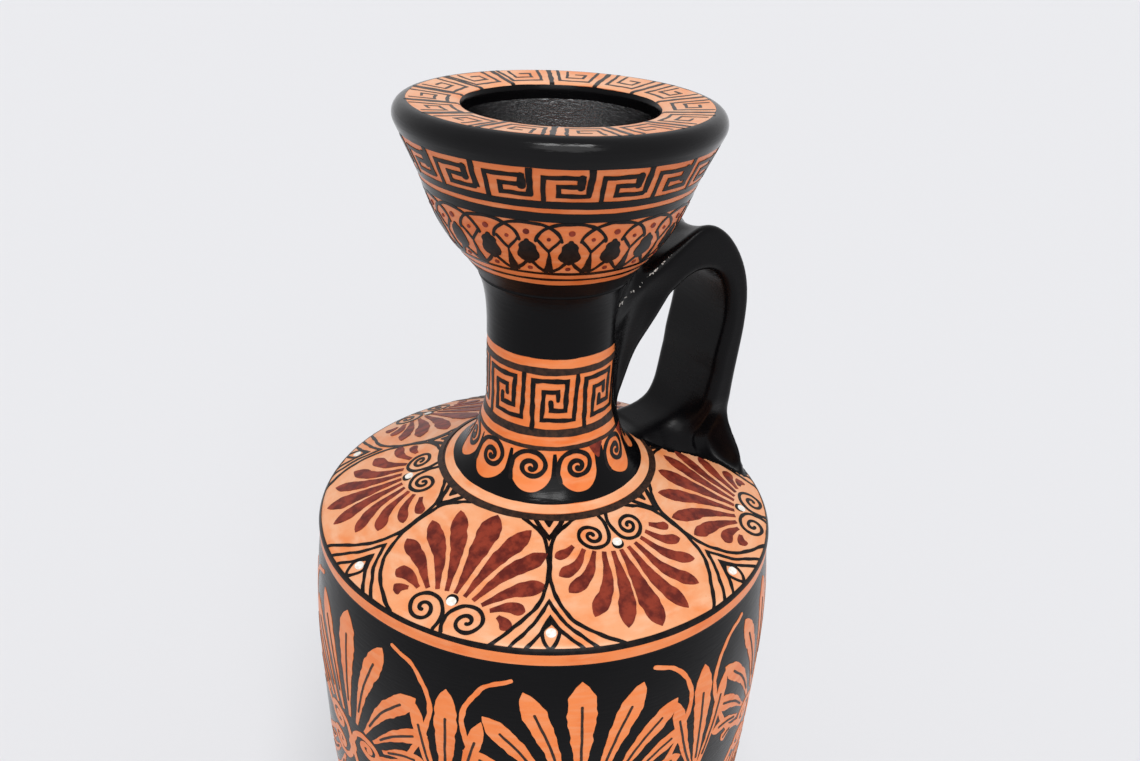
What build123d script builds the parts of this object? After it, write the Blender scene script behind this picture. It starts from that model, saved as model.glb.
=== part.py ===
from build123d import *
import os
from math import atan2, cos, radians, sin

# A lekythos: a tall oil vessel of fired clay, thrown on the wheel in five sections that are luted
# together with slip, and a pulled strap handle luted to the neck and the shoulder. Millimetres, +Z up
# along the wheel axis. The origin is on the axis, on the plane that the foot stands on. The handle lies
# in the XZ plane, towards +X. A lean is a curve's run outwards for a rise of one at its end, and a fall
# is its drop for a run of one.

# Joints: each section has a spigot that locates it, and a thin bed of slip between the faces that meet
luting = 0.5
spigot_clearance = 0.3
luting_squeeze = 1.2

# Foot: a disc with a hollow underside and a socket for the body's spigot
foot_height = 15.0
foot_radius = 37.5
foot_edge_height = 8.6
foot_edge_round = 1.5
foot_ring_width = 8.5
foot_hollow = 4.5
foot_hollow_step = 1.5
foot_spigot_radius = 12.0
foot_spigot_depth = 5.0
foot_stem_lean = 0.4
foot_top_fall = 0.1
foot_hollow_fall = 0.25

# Body: a wall that swells below the shoulder and closes in to a narrow stem
body_height = 169.0
body_wall = 5.0
body_floor = 11.0
stem_radius = 19.0
heel_radius = 31.5
lower_flank_radius = 44.8
flank_radius = 51.2
belly_radius = 53.9
stem_lean = 0.15
rim_lean = -0.14
# Where those radii lie, as shares of the body's height above its base
heel_share = 0.127
lower_flank_share = 0.3225
flank_share = 0.524
belly_share = 0.818

# Shoulder: a shallow cone with a crisp rounded edge
shoulder_radius = 52.0
shoulder_corner_height = 3.5
shoulder_edge_round = 2.0
shoulder_thickness = 5.5
shoulder_spigot_depth = 6.0
shoulder_spigot_wall = 3.5
collar_height = 14.8
collar_radius = 23.4
collar_edge = 1.5

# Neck: a tube that flares to the collar below and to the mouth above
neck_height = 45.5
neck_radius = 14.05
neck_waist_share = 0.72
neck_flare_radius = 17.7
neck_flare_height = 5.0
neck_throat_radius = 15.2
neck_throat_height = 12.0
neck_top_radius = 15.9
neck_bore_radius = 8.5
neck_bore_length = 36.3
neck_spigot_radius = 17.0
neck_spigot_wall = 3.0
neck_spigot_depth = 5.0
neck_collar_fall = 0.45
neck_top_lean = 0.45
neck_bore_lean = 0.35

# Mouth: a deep cup with a rolled rim and a broad lip that dishes a little towards the hole. The undercut
# is the angle in degrees, below level, at which the roll leaves the wall
mouth_height = 34.6
mouth_wall = 8.5
mouth_spigot_wall = 3.0
mouth_spigot_height = 4.0
mouth_floor = 2.0
rim_radius = 32.4
rim_round = 2.7
rim_undercut = 24.0
lip_hole_radius = 19.2
lip_inner_round = 1.2
lip_dish = 0.8
cup_low_radius = 20.4
cup_middle_radius = 24.6
cup_upper_radius = 27.8
cup_base_lean = 0.6
funnel_fall = 0.3
# Where those radii lie, as shares of the mouth's height above its base
cup_low_share = 0.17
cup_middle_share = 0.358
cup_upper_share = 0.6

# Handle: a strap that springs from the neck under the mouth, arches over and comes down on the shoulder
handle_width = 21.0
handle_outer_round = 3.0
handle_inner_round = 1.8
handle_bend = 15.5
handle_leg_thickness = 6.8
handle_crown_thickness = 10.8
handle_crown_rise = 8.6
handle_crown_radius = 31.5
handle_root_drop = 2.6
handle_root_height = 20.0
handle_foot_clearance = 2.1
handle_foot_margin = 3.5
handle_foot_waist = 6.5
handle_pad_round = 5.0
# How far the strap's ends run on into the neck and the shoulder before they are cut to fit
handle_root_depth = 10.0
handle_foot_depth = 1.75
# Points that shape the strap's curves: along its arm, round its bend and down its leg, each as a share
arm_run_share = 0.55
arm_rise_share = 0.66
arm_under_share = 0.68
bend_run_share = 0.79
bend_drop_share = 0.41
bend_under_run_share = 0.6
bend_under_drop_share = 0.2
leg_drop_share = 0.6
leg_waist_share = 0.25
leg_spread_share = 1.35
toe_run_share = 0.75
toe_rise_share = 0.32

# Levels of the joints, stacked up from the plane that the foot stands on
body_base = foot_height + luting
body_rim = body_base + body_height
shoulder_base = body_rim + luting
collar_level = shoulder_base + collar_height
neck_top = collar_level + neck_height
mouth_base = neck_top + luting
lip_level = mouth_base + mouth_height

# The neck's seat lies below the shoulder's surface, so that the collar's edge is flush with it
neck_seat = collar_level - collar_edge
rebate_radius = collar_radius + luting
neck_opening_radius = neck_spigot_radius + spigot_clearance
shoulder_seat = neck_seat - luting
body_rim_inner = shoulder_radius - body_wall
mouth_spigot_radius = neck_bore_radius + mouth_spigot_wall
mouth_socket_radius = mouth_spigot_radius + spigot_clearance
foot_socket_radius = foot_spigot_radius + spigot_clearance

# The strap's foot lies between the collar and the shoulder's edge, and its leg hangs outside its crown
handle_foot_inner = collar_radius + handle_foot_clearance
handle_foot_outer = shoulder_radius - handle_foot_margin
handle_reach = handle_crown_radius + handle_bend

# The cone of the shoulder runs from the collar's edge to the corner above the body's rim
shoulder_corner = shoulder_base + shoulder_corner_height
cone_slope = (collar_level - shoulder_corner) / (shoulder_radius - collar_radius)
cone_angle = atan2(cone_slope, 1.0)


def cone_level(radius, lift=0.0):
    """Height of the shoulder's cone at a radius, or of the surface that lies lift above it."""
    return collar_level - cone_slope * (radius - collar_radius) + lift / cos(cone_angle)


def turned(*edges):
    """Turn a closed half section, drawn as (radius, height), about the wheel axis."""
    return revolve(Plane.XZ * make_face(list(edges)), Axis.Z)


def ring(inner_radius, outer_radius, bottom, top):
    """A flat ring."""
    half_section = Polyline(
        (inner_radius, bottom),
        (outer_radius, bottom),
        (outer_radius, top),
        (inner_radius, top),
        close=True,
    )
    return turned(half_section)


def neck_outline(growth=0.0):
    """The neck's outer curve from the collar up to the mouth, moved outwards by growth."""
    waist = (neck_radius + growth, collar_level + neck_waist_share * neck_height)
    flare = Spline(
        (collar_radius + growth, collar_level),
        (neck_flare_radius + growth, collar_level + neck_flare_height),
        (neck_throat_radius + growth, collar_level + neck_throat_height),
        waist,
        tangents=((-1.0, neck_collar_fall), (0.0, 1.0)),
    )
    top = (neck_top_radius + growth, neck_top)
    spread = Spline(waist, top, tangents=((0.0, 1.0), (neck_top_lean, 1.0)))
    return [flare, spread]


def foot():
    """Disc foot: it stands on a ring, and a curved top rises to the stem."""
    ring_inner = foot_radius - foot_edge_round - foot_ring_width
    socket_bottom = foot_height - foot_spigot_depth - spigot_clearance
    stem = (stem_radius, foot_height)
    hollow_edge = (ring_inner, foot_hollow_step)
    hollow_top = (0.0, foot_hollow)
    top_edge = (foot_radius - foot_edge_round, foot_edge_height)
    upper_corner = (foot_radius, foot_edge_height - foot_edge_round)
    lower_corner = (foot_radius, foot_edge_round)
    rest_edge = (foot_radius - foot_edge_round, 0.0)
    return turned(
        Line((foot_socket_radius, foot_height), stem),
        Spline(stem, top_edge, tangents=((foot_stem_lean, -1.0), (1.0, -foot_top_fall))),
        RadiusArc(top_edge, upper_corner, foot_edge_round),
        Line(upper_corner, lower_corner),
        RadiusArc(lower_corner, rest_edge, foot_edge_round),
        Line(rest_edge, (ring_inner, 0.0)),
        Line((ring_inner, 0.0), hollow_edge),
        Spline(hollow_edge, hollow_top, tangents=((-1.0, foot_hollow_fall), (-1.0, 0.0))),
        Line(hollow_top, (0.0, socket_bottom)),
        Line((0.0, socket_bottom), (foot_socket_radius, socket_bottom)),
        Line((foot_socket_radius, socket_bottom), (foot_socket_radius, foot_height)),
    )


def body_stations():
    """Radius and height of the body's outer wall from the heel up to the belly."""
    stations = (
        (heel_radius, heel_share),
        (lower_flank_radius, lower_flank_share),
        (flank_radius, flank_share),
        (belly_radius, belly_share),
    )
    return [(radius, body_base + share * body_height) for radius, share in stations]


def body():
    """Body wall with a rounded floor and a spigot below the stem."""
    outer = body_stations()
    inner = [(radius - body_wall, height) for radius, height in reversed(outer)]
    floor_level = body_base + body_floor
    spigot_bottom = body_base - foot_spigot_depth
    rim = (shoulder_radius, body_rim)
    rim_inner = (body_rim_inner, body_rim)
    stem = (stem_radius, body_base)
    return turned(
        Line((0.0, spigot_bottom), (foot_spigot_radius, spigot_bottom)),
        Line((foot_spigot_radius, spigot_bottom), (foot_spigot_radius, body_base)),
        Line((foot_spigot_radius, body_base), stem),
        Spline(stem, *outer, rim, tangents=((stem_lean, 1.0), (rim_lean, 1.0))),
        Line(rim, rim_inner),
        Spline(rim_inner, *inner, (0.0, floor_level), tangents=((-rim_lean, -1.0), (-1.0, 0.0))),
        Line((0.0, floor_level), (0.0, spigot_bottom)),
    )


def shoulder():
    """Cone with a seat for the neck's collar and a ring below that drops inside the body's rim."""
    spigot_outer = body_rim_inner - spigot_clearance
    spigot_inner = spigot_outer - shoulder_spigot_wall
    spigot_bottom = body_rim - shoulder_spigot_depth
    boss_radius = rebate_radius + luting_squeeze
    boss_bottom = shoulder_seat - shoulder_thickness
    under_edge = cone_level(spigot_inner) - shoulder_thickness
    half_section = make_face(
        Polyline(
            (spigot_outer, shoulder_base),
            (shoulder_radius, shoulder_base),
            (shoulder_radius, shoulder_corner),
            (rebate_radius, cone_level(rebate_radius)),
            (rebate_radius, shoulder_seat),
            (neck_opening_radius, shoulder_seat),
            (neck_opening_radius, boss_bottom),
            (boss_radius, boss_bottom),
            (spigot_inner, under_edge),
            (spigot_inner, spigot_bottom),
            (spigot_outer, spigot_bottom),
            close=True,
        )
    )
    corner = half_section.vertices().sort_by_distance((shoulder_radius, shoulder_corner))[0]
    return revolve(Plane.XZ * fillet(corner, shoulder_edge_round), Axis.Z)


def neck():
    """Tube with a flared collar, a spigot into the shoulder and a spigot up into the mouth."""
    bore_top = neck_top + mouth_spigot_height
    bore_bottom = bore_top - neck_bore_length
    spigot_inner = neck_spigot_radius - neck_spigot_wall
    spigot_bottom = neck_seat - neck_spigot_depth
    flare = Spline(
        (neck_bore_radius, bore_bottom),
        (spigot_inner, spigot_bottom),
        tangents=((0.0, -1.0), (neck_bore_lean, -1.0)),
    )
    below = Polyline(
        (spigot_inner, spigot_bottom),
        (neck_spigot_radius, spigot_bottom),
        (neck_spigot_radius, neck_seat),
        (collar_radius, neck_seat),
        (collar_radius, collar_level),
    )
    above = Polyline(
        (neck_top_radius, neck_top),
        (mouth_spigot_radius, neck_top),
        (mouth_spigot_radius, bore_top),
        (neck_bore_radius, bore_top),
        (neck_bore_radius, bore_bottom),
    )
    return turned(flare, below, *neck_outline(), above)


def mouth():
    """Deep cup: a flaring wall, a rolled rim, a flat lip and a funnel down to the neck's bore."""
    middle_level = mouth_base + cup_middle_share * mouth_height
    upper_level = mouth_base + cup_upper_share * mouth_height
    socket_top = mouth_base + mouth_spigot_height + spigot_clearance
    funnel_bottom = socket_top + mouth_floor
    roll_centre = (rim_radius - rim_round, lip_level - rim_round)
    roll_start = (
        roll_centre[0] + rim_round * cos(radians(rim_undercut)),
        roll_centre[1] - rim_round * sin(radians(rim_undercut)),
    )
    half_turn = radians((90 - rim_undercut) / 2)
    roll_middle = (
        roll_centre[0] + rim_round * cos(half_turn),
        roll_centre[1] + rim_round * sin(half_turn),
    )
    lip_outer = (roll_centre[0], lip_level)
    lip_inner = (lip_hole_radius + lip_inner_round, lip_level - lip_dish)
    hole_edge = (lip_hole_radius, lip_level - lip_dish - lip_inner_round)
    wall_rise = (sin(radians(rim_undercut)), cos(radians(rim_undercut)))
    outside = Spline(
        (neck_top_radius, mouth_base),
        (cup_low_radius, mouth_base + cup_low_share * mouth_height),
        (cup_middle_radius, middle_level),
        (cup_upper_radius, upper_level),
        roll_start,
        tangents=((cup_base_lean, 1.0), wall_rise),
    )
    funnel = Spline(
        hole_edge,
        (cup_upper_radius - mouth_wall, upper_level),
        (cup_middle_radius - mouth_wall, middle_level),
        (neck_bore_radius, funnel_bottom),
        tangents=((0.0, -1.0), (-1.0, -funnel_fall)),
    )
    socket = Polyline(
        (neck_bore_radius, funnel_bottom),
        (neck_bore_radius, socket_top),
        (mouth_socket_radius, socket_top),
        (mouth_socket_radius, mouth_base),
        (neck_top_radius, mouth_base),
    )
    return turned(
        outside,
        ThreePointArc(roll_start, roll_middle, lip_outer),
        Line(lip_outer, lip_inner),
        RadiusArc(lip_inner, hole_edge, -lip_inner_round),
        funnel,
        socket,
    )


def neck_luting():
    """Bed of slip under the collar, with a thin upstand that fills the rebate round its edge."""
    return turned(
        Polyline(
            (neck_opening_radius, shoulder_seat),
            (rebate_radius, shoulder_seat),
            (rebate_radius, cone_level(rebate_radius)),
            (collar_radius, collar_level),
            (collar_radius, neck_seat),
            (neck_opening_radius, neck_seat),
            close=True,
        )
    )


def neck_zone(growth):
    """Everything inside the neck's outer curve, moved outwards by growth."""
    return turned(
        Line((0.0, collar_level), (collar_radius + growth, collar_level)),
        *neck_outline(growth),
        Line((neck_top_radius + growth, neck_top), (0.0, neck_top)),
        Line((0.0, neck_top), (0.0, collar_level)),
    )


def shoulder_zone(growth):
    """Everything inside the shoulder's cone and rounded edge, moved outwards by growth."""
    edge_radius = shoulder_radius + growth
    edge_level = cone_level(edge_radius, growth)
    half_section = make_face(
        Polyline(
            (0.0, shoulder_base),
            (edge_radius, shoulder_base),
            (edge_radius, edge_level),
            (0.0, cone_level(0.0, growth)),
            close=True,
        )
    )
    corner = half_section.vertices().sort_by_distance((edge_radius, edge_level))[0]
    return revolve(Plane.XZ * fillet(corner, shoulder_edge_round + growth), Axis.Z)


def strap():
    """The strap's side outline at full width, run on into the neck and the shoulder, with rounded edges."""
    crown_level = neck_top + handle_crown_rise
    crown_under = crown_level - handle_crown_thickness
    root_top = neck_top - handle_root_drop
    root_bottom = root_top - handle_root_height
    leg_level = root_top - leg_drop_share * handle_root_height
    waist_level = collar_level + handle_foot_waist
    arm_rise = crown_level - root_top
    arm_run = handle_crown_radius - neck_top_radius
    arm_slope = arm_rise / arm_run
    inner_reach = handle_reach - handle_leg_thickness
    bend_under = inner_reach - handle_crown_radius
    waist_outer = handle_reach - leg_waist_share * handle_leg_thickness
    waist_inner = waist_outer - leg_spread_share * handle_leg_thickness
    root_end = neck_radius - handle_root_depth
    root_end_top = (root_end, root_top - handle_root_depth * arm_slope)
    root_end_bottom = (root_end, root_end_top[1] - handle_root_height)
    toe = (handle_foot_inner, cone_level(handle_foot_inner))
    heel = (handle_foot_outer, cone_level(handle_foot_outer))
    foot_end_level = shoulder_corner - handle_foot_depth
    toe_end = (handle_foot_inner - luting_squeeze, toe[1] - luting_squeeze)
    toe_end_low = (toe_end[0], foot_end_level)
    heel_end = (handle_foot_outer + luting_squeeze, foot_end_level)
    outside = Spline(
        root_end_top,
        (neck_radius, root_top),
        (neck_top_radius + arm_run_share * arm_run, root_top + arm_rise_share * arm_rise),
        (handle_crown_radius, crown_level),
        (
            handle_crown_radius + bend_run_share * handle_bend,
            crown_level - bend_drop_share * (crown_level - leg_level),
        ),
        (handle_reach, leg_level),
        (waist_outer, waist_level),
        heel,
        heel_end,
    )
    inside = Spline(
        toe_end,
        toe,
        (
            handle_foot_inner + toe_run_share * (waist_inner - handle_foot_inner),
            toe[1] + toe_rise_share * (waist_level - toe[1]),
        ),
        (waist_inner, waist_level),
        (inner_reach, leg_level),
        (
            handle_crown_radius + bend_under_run_share * bend_under,
            crown_under - bend_under_drop_share * (crown_under - leg_level),
        ),
        (handle_crown_radius, crown_under),
        (
            (neck_radius + handle_crown_radius) / 2,
            root_bottom + arm_under_share * (crown_under - root_bottom),
        ),
        (neck_radius, root_bottom),
        root_end_bottom,
    )
    outline = make_face(
        [
            outside,
            Line(heel_end, toe_end_low),
            Line(toe_end_low, toe_end),
            inside,
            Line(root_end_bottom, root_end_top),
        ]
    )
    blank = extrude(Plane.XZ * outline, amount=handle_width / 2, both=True)
    outer_edges = blank.edges().filter_by(GeomType.BSPLINE).sort_by(Edge.length)[-2:]
    blank = fillet(outer_edges, handle_outer_round)
    curves = blank.edges().filter_by(GeomType.BSPLINE)
    inner_edges = curves.sort_by_distance((handle_crown_radius, 0, collar_level))[:2]
    return fillet(inner_edges, handle_inner_round)


def upper_pad():
    """Patch of slip between the strap's root and the neck."""
    root_top = neck_top - handle_root_drop
    height = handle_root_height + 2 * luting_squeeze
    width = handle_width + 2 * luting_squeeze
    middle = root_top - handle_root_height / 2
    patch = Plane.YZ * Pos(0, middle) * RectangleRounded(width, height, handle_pad_round)
    reach = extrude(patch, amount=neck_top_radius + collar_radius)
    return reach & (neck_zone(luting) - neck_zone(0.0))


def lower_pad():
    """Patch of slip between the strap's foot and the shoulder."""
    length = handle_foot_outer - handle_foot_inner + 2 * luting_squeeze
    width = handle_width + 2 * luting_squeeze
    middle = (handle_foot_inner + handle_foot_outer) / 2
    patch = Pos(middle, 0, shoulder_base) * RectangleRounded(length, width, handle_pad_round)
    reach = extrude(patch, amount=2 * collar_height)
    return reach & (shoulder_zone(luting) - shoulder_zone(0.0))


def handle():
    """The strap, cut to sit on its two pads of slip."""
    return strap() - neck_zone(luting) - shoulder_zone(luting)


pieces = {
    "foot": foot(),
    "foot_luting": ring(foot_socket_radius, stem_radius, foot_height, body_base),
    "body": body(),
    "shoulder_luting": ring(body_rim_inner, shoulder_radius, body_rim, shoulder_base),
    "shoulder": shoulder(),
    "neck_luting": neck_luting(),
    "neck": neck(),
    "mouth_luting": ring(mouth_socket_radius, neck_top_radius, neck_top, mouth_base),
    "mouth": mouth(),
    "handle": handle(),
    "handle_root_luting": upper_pad(),
    "handle_foot_luting": lower_pad(),
}

os.makedirs("parts", exist_ok=True)
for name, piece in pieces.items():
    export_step(piece, f"parts/{name}.step")
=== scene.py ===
"""Looks of a painted clay lekythos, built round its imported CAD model.

The file is laid out as a Blender add-on and run as a script. The turned clay sections are the CAD nodes.
Every painted band, line and leaf is a thin coat of slip laid on them, as the painter lays it on the real
vessel, and the strap handle gets a skin that runs smoothly into the neck and the shoulder.
"""

import math
from functools import partial
from typing import NamedTuple

import bpy
import numpy as np
from mathutils import Matrix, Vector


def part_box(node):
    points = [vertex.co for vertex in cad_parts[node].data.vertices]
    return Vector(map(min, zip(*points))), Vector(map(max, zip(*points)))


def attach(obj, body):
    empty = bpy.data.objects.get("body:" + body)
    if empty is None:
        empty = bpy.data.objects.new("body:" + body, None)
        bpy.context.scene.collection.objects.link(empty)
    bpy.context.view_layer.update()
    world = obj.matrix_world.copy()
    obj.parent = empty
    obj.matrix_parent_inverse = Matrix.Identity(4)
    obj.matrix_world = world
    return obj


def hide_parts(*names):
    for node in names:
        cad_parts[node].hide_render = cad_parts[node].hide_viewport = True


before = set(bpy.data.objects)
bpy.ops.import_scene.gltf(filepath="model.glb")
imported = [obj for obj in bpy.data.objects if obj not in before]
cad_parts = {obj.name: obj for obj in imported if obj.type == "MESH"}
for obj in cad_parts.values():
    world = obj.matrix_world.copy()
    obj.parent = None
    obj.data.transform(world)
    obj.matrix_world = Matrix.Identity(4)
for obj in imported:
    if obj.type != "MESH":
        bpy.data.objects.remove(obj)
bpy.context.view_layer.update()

bl_info = {
    "name": "Painted Lekythos",
    "version": (1, 0, 0),
    "blender": (4, 5, 0),
    "location": "View3D > Sidebar > Lekythos",
    "description": "Builds the painted looks of a clay lekythos round its CAD model",
    "category": "Object",
}

MM = 0.001

# Names of material slots, which the painted pieces are passed but do not use
BLACK = "black_slipped_clay"
ORANGE = "orange_painted_clay"

# Angles in degrees from the handle, anticlockwise seen from above, as the painter spaced them by eye
EGG_ANGLES = (-24, -59, -99, -133.6, -168, -201, -236, -271, -306, -341)
EGG_HALF_TURN = 15.6
DART_ANGLES = (-81, -43, -220)
FRAME_ANGLES = (-12.4, -67, -120, -174, -228, -287, -347.6)
PALMETTE_SHIFTS = (0, 0, 2.0, 0, 0, 0)
LIP_KEYS_START = -124.7
LIP_KEYS_DRIFT = 4.3
CUP_KEYS_START = -131.2
LOTUS_START = -133.3
FRIEZE_START = -112
HANDLE_BLACK = 49

# Each neck key's first angle and how far round it reaches; the last one is squeezed in beside the handle
NECK_KEYS = (*((-90.2 - 46.3 * k, 37.5) for k in range(5)), (-309.0, 26.0))

# Heights in millimetres of painted bands, mostly of their lower and upper edges, and of what stands on them
FOOT_LINE = (1.2, 2.6)
FRIEZE_LINES = ((91.2, 92.8), (87.4, 88.4))
FRIEZE_LOWER_HEARTS = 136
FRIEZE_BUDS = 143
FRIEZE_UPPER_HEARTS = 150
SHOULDER_STRIPE_TOP = 187.7
SHOULDER_LINE_FOOT = 187.55
EGG_WAIST = 206.8
EGG_SPIRALS = 207.2
NECK_BROWN_BANDS = ((227.6, 229.15), (213.3, 215.0), (210.5, 211.4))
NECK_BLACK_ROUND_HANDLE = (210.6, 231.6)
NECK_KEY_PANEL = (215.0, 226.2)
NECK_BLACK_FOOT = 231.3
CUP_BLACK_TOP = 249.3
CUP_LINES = ((250.6, 251.1), (252.3, 252.9), (264.5, 266.35), (267.35, 268.75))
LOTUS_BAND = (252.9, 264.8)
CUP_KEY_BAND = (268.7, 275.2)
FUNNEL_TOP_FOOT = 276.6

# Radii and a depth in millimetres
EGG_DEPTH = 4.5
LIP_FLAT_OUTER = 29.7
LIP_FLAT_INNER = 19.6
COLLAR_EDGE = 21.5
SHOULDER_RING = 25.0
SHOULDER_LINE = 51.4
STANDING_HEART = 45.4
HANGING_HEART = 31.6


# Sizes and colours that a user would change


def length_mm(millimetres, name, description):
    """A length property given in millimetres and kept in metres."""
    return bpy.props.FloatProperty(
        name=name, description=description, default=millimetres * MM, precision=5, unit="LENGTH"
    )


def angle_degrees(degrees, name, description):
    """An angle property given in degrees and kept in radians."""
    return bpy.props.FloatProperty(
        name=name, description=description, default=math.radians(degrees), subtype="ANGLE"
    )


def colour_hex(value, name, description):
    """A colour property kept as an sRGB hex value."""
    return bpy.props.StringProperty(name=name, description=description, default=value, maxlen=7)


def repeats(count, name, description, least=6):
    """A number of repeats of a pattern round the vessel."""
    return bpy.props.IntProperty(name=name, description=description, default=count, min=least)


def brightness(strength, name, description):
    """A strength of light."""
    return bpy.props.FloatProperty(name=name, description=description, default=strength, min=0.0)


class SlipColours(bpy.types.PropertyGroup):
    """Colours of the clay and the slips."""

    orange: colour_hex("#EC8446", "Orange wash", "Middle tone of the orange wash")
    orange_deep: colour_hex("#E16B26", "Orange wash, thick", "Where the orange wash lies thick")
    orange_light: colour_hex("#EB9665", "Orange wash, light", "Where the orange wash lies thin")
    # These three tones are the orange wash made darker, as painted shade on the cup, which turns away from
    # the light above
    cup: colour_hex("#DC7740", "Cup wash", "Middle tone of the wash on the cup")
    cup_deep: colour_hex("#CF6122", "Cup wash, thick", "Where the wash on the cup lies thick")
    cup_light: colour_hex("#E39061", "Cup wash, light", "Where the wash on the cup lies thin")
    # These three tones are the orange wash made paler, as painted sheen of the light from above on the
    # up-facing shoulder, lip and collar
    pale: colour_hex("#F2A878", "Wash with painted sheen", "Middle tone of the wash with painted sheen on the shoulder and the lip")
    pale_deep: colour_hex("#EE8440", "Wash with painted sheen, thick", "Where the wash with painted sheen lies thick")
    pale_light: colour_hex("#F6C09A", "Wash with painted sheen, light", "Where the wash with painted sheen lies thinnest")
    black: colour_hex("#060607", "Black slip", "Fired black slip")
    black_grey: colour_hex("#0C0B0D", "Black slip, greyer", "Where the black slip fired a little greyer")
    black_thin: colour_hex("#1B1311", "Black slip, thin", "Where a black line runs thin")
    brown: colour_hex("#231712", "Brown slip", "Black slip thinned with water")
    brown_thin: colour_hex("#3C281E", "Brown slip, thin", "Where the brown slip lies thinnest")
    red: colour_hex("#8E3826", "Red slip", "Dark red of the leaves")
    red_dark: colour_hex("#5E1F18", "Red slip, thick", "Where the brush left more red")
    white: colour_hex("#FFFDF8", "White slip", "Dots and drops")
    white_thin: colour_hex("#E9E3D6", "White slip, thin", "Where the white slip lies thin")
    chip: colour_hex("#D9D5CD", "Chips", "White ground that shows where an edge is worn")


class SlipLayers(bpy.types.PropertyGroup):
    """How thick the slip lies and how steady the hand is."""

    coat: length_mm(0.08, "Coat", "How far a coat of slip stands above the clay")
    line: length_mm(0.12, "Line", "How far a brush line stands above the clay")
    over: length_mm(0.16, "Over", "How far a line painted over another coat stands above the clay")
    top: length_mm(0.2, "Top", "How far the last touches stand above the clay")
    sink: length_mm(0.1, "Sink", "How far the edge of a coat reaches down into the clay")
    wobble: length_mm(0.1, "Wobble", "How far a line strays from its drawn path")


class HandleShape(bpy.types.PropertyGroup):
    """How soft the strap's edges and joints are."""

    grid: length_mm(0.42, "Grid", "Spacing of the points that the skin is drawn through")
    half_width: length_mm(10.4, "Half width", "Half the strap's width at its crown")
    edge_round: length_mm(2.0, "Edge round", "Rounding of the strap's long edges")
    hollow: length_mm(3.4, "Hollow", "Radius of the hollow of slip where the strap meets the vessel")


class Ornament(bpy.types.PropertyGroup):
    """How often the patterns repeat and how broad their lines are."""

    lip_keys: repeats(14, "Lip keys", "Meander keys on the lip")
    cup_keys: repeats(18, "Cup keys", "Meander keys round the cup")
    lotus_buds: repeats(20, "Lotus buds", "Buds round the cup")
    frieze_palmettes: repeats(6, "Frieze palmettes", "Double palmettes round the body", 3)
    fine_line: length_mm(0.88, "Fine line", "Width of the lines round the cup")
    line: length_mm(0.95, "Line", "Width of most lines")
    bold_line: length_mm(1.5, "Bold line", "Width of the frieze's tendrils")


class StageSetup(bpy.types.PropertyGroup):
    """Camera, floor and lights."""

    camera_place: bpy.props.FloatVectorProperty(
        name="Camera place",
        description="Where the camera stands",
        default=(-0.1022, -0.1636, 0.3194),
        precision=4,
        subtype="TRANSLATION",
    )
    camera_turn: angle_degrees(-33.28, "Turn", "Turn of the view about Z")
    camera_tilt: angle_degrees(27.40, "Tilt", "Tilt of the view below level")
    camera_roll: angle_degrees(2.825, "Roll", "Roll about the line of sight")
    lens: bpy.props.FloatProperty(
        name="Lens", description="Focal length on a sensor 36 mm wide", default=30.99, unit="CAMERA"
    )
    key_turn: angle_degrees(-26, "Key turn", "Turn of the lamps about Z")
    key_spread: angle_degrees(16, "Key spread", "How far each key stands to its side")
    key_lean: angle_degrees(28, "Key lean", "Lean of the keys from overhead")
    key_width: angle_degrees(13, "Key width", "How wide each key looks")
    key_strength: brightness(0.72, "Key strength", "Strength of each key")
    fill_lean: angle_degrees(52, "Fill lean", "Lean of the fill from overhead")
    fill_width: angle_degrees(40, "Fill width", "How wide the fill looks")
    fill_strength: brightness(0.85, "Fill strength", "Strength of the fill")
    room_colour: colour_hex("#F4F5F8", "Room", "Colour of the light from all round")
    room_strength: brightness(0.52, "Room strength", "Strength of the light from all round")
    floor_colour: colour_hex("#E6E6E8", "Floor", "Pale floor")
    floor_reach: bpy.props.FloatProperty(
        name="Floor reach", description="Half the floor's side", default=8.0, unit="LENGTH"
    )


class LekythosSettings(bpy.types.PropertyGroup):
    """All settings of the lekythos."""

    colours: bpy.props.PointerProperty(type=SlipColours, name="Colours", description="Clay and slips")
    layers: bpy.props.PointerProperty(type=SlipLayers, name="Layers", description="Thickness of the slip")
    handle: bpy.props.PointerProperty(type=HandleShape, name="Handle", description="The strap's softness")
    ornament: bpy.props.PointerProperty(type=Ornament, name="Ornament", description="Patterns and lines")
    stage: bpy.props.PointerProperty(type=StageSetup, name="Stage", description="Camera, floor and lights")


def settings():
    """The scene's settings of the lekythos."""
    return bpy.context.scene.lekythos


# Turned surfaces


def outline(node, *stops):
    """Run of a turned node's section through the points nearest to the stops, in millimetres."""
    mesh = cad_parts[node].data
    seam = {}
    for vertex in mesh.vertices:
        x, y, z = vertex.co / MM
        if abs(y) < 1e-3 and x > 0:
            seam[vertex.index] = (round(x, 3), round(z, 3))
    links = {}
    for edge in mesh.edges:
        a, b = edge.vertices
        if a in seam and b in seam and seam[a] != seam[b]:
            links.setdefault(seam[a], set()).add(seam[b])
            links.setdefault(seam[b], set()).add(seam[a])
    spots = [min(links, key=lambda point: math.dist(point, stop)) for stop in stops]
    run = spots[:1]
    for first, last in zip(spots, spots[1:]):
        came_from = {first: first}
        reached = [first]
        for point in reached:
            for other in sorted(links[point]):
                if other not in came_from:
                    came_from[other] = point
                    reached.append(other)
        if last not in came_from:
            raise RuntimeError(f"the section of {node} is broken between {first} and {last}")
        leg = [last]
        while leg[-1] != first:
            leg.append(came_from[leg[-1]])
        run += leg[-2::-1]
    return np.array(run)


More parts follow.
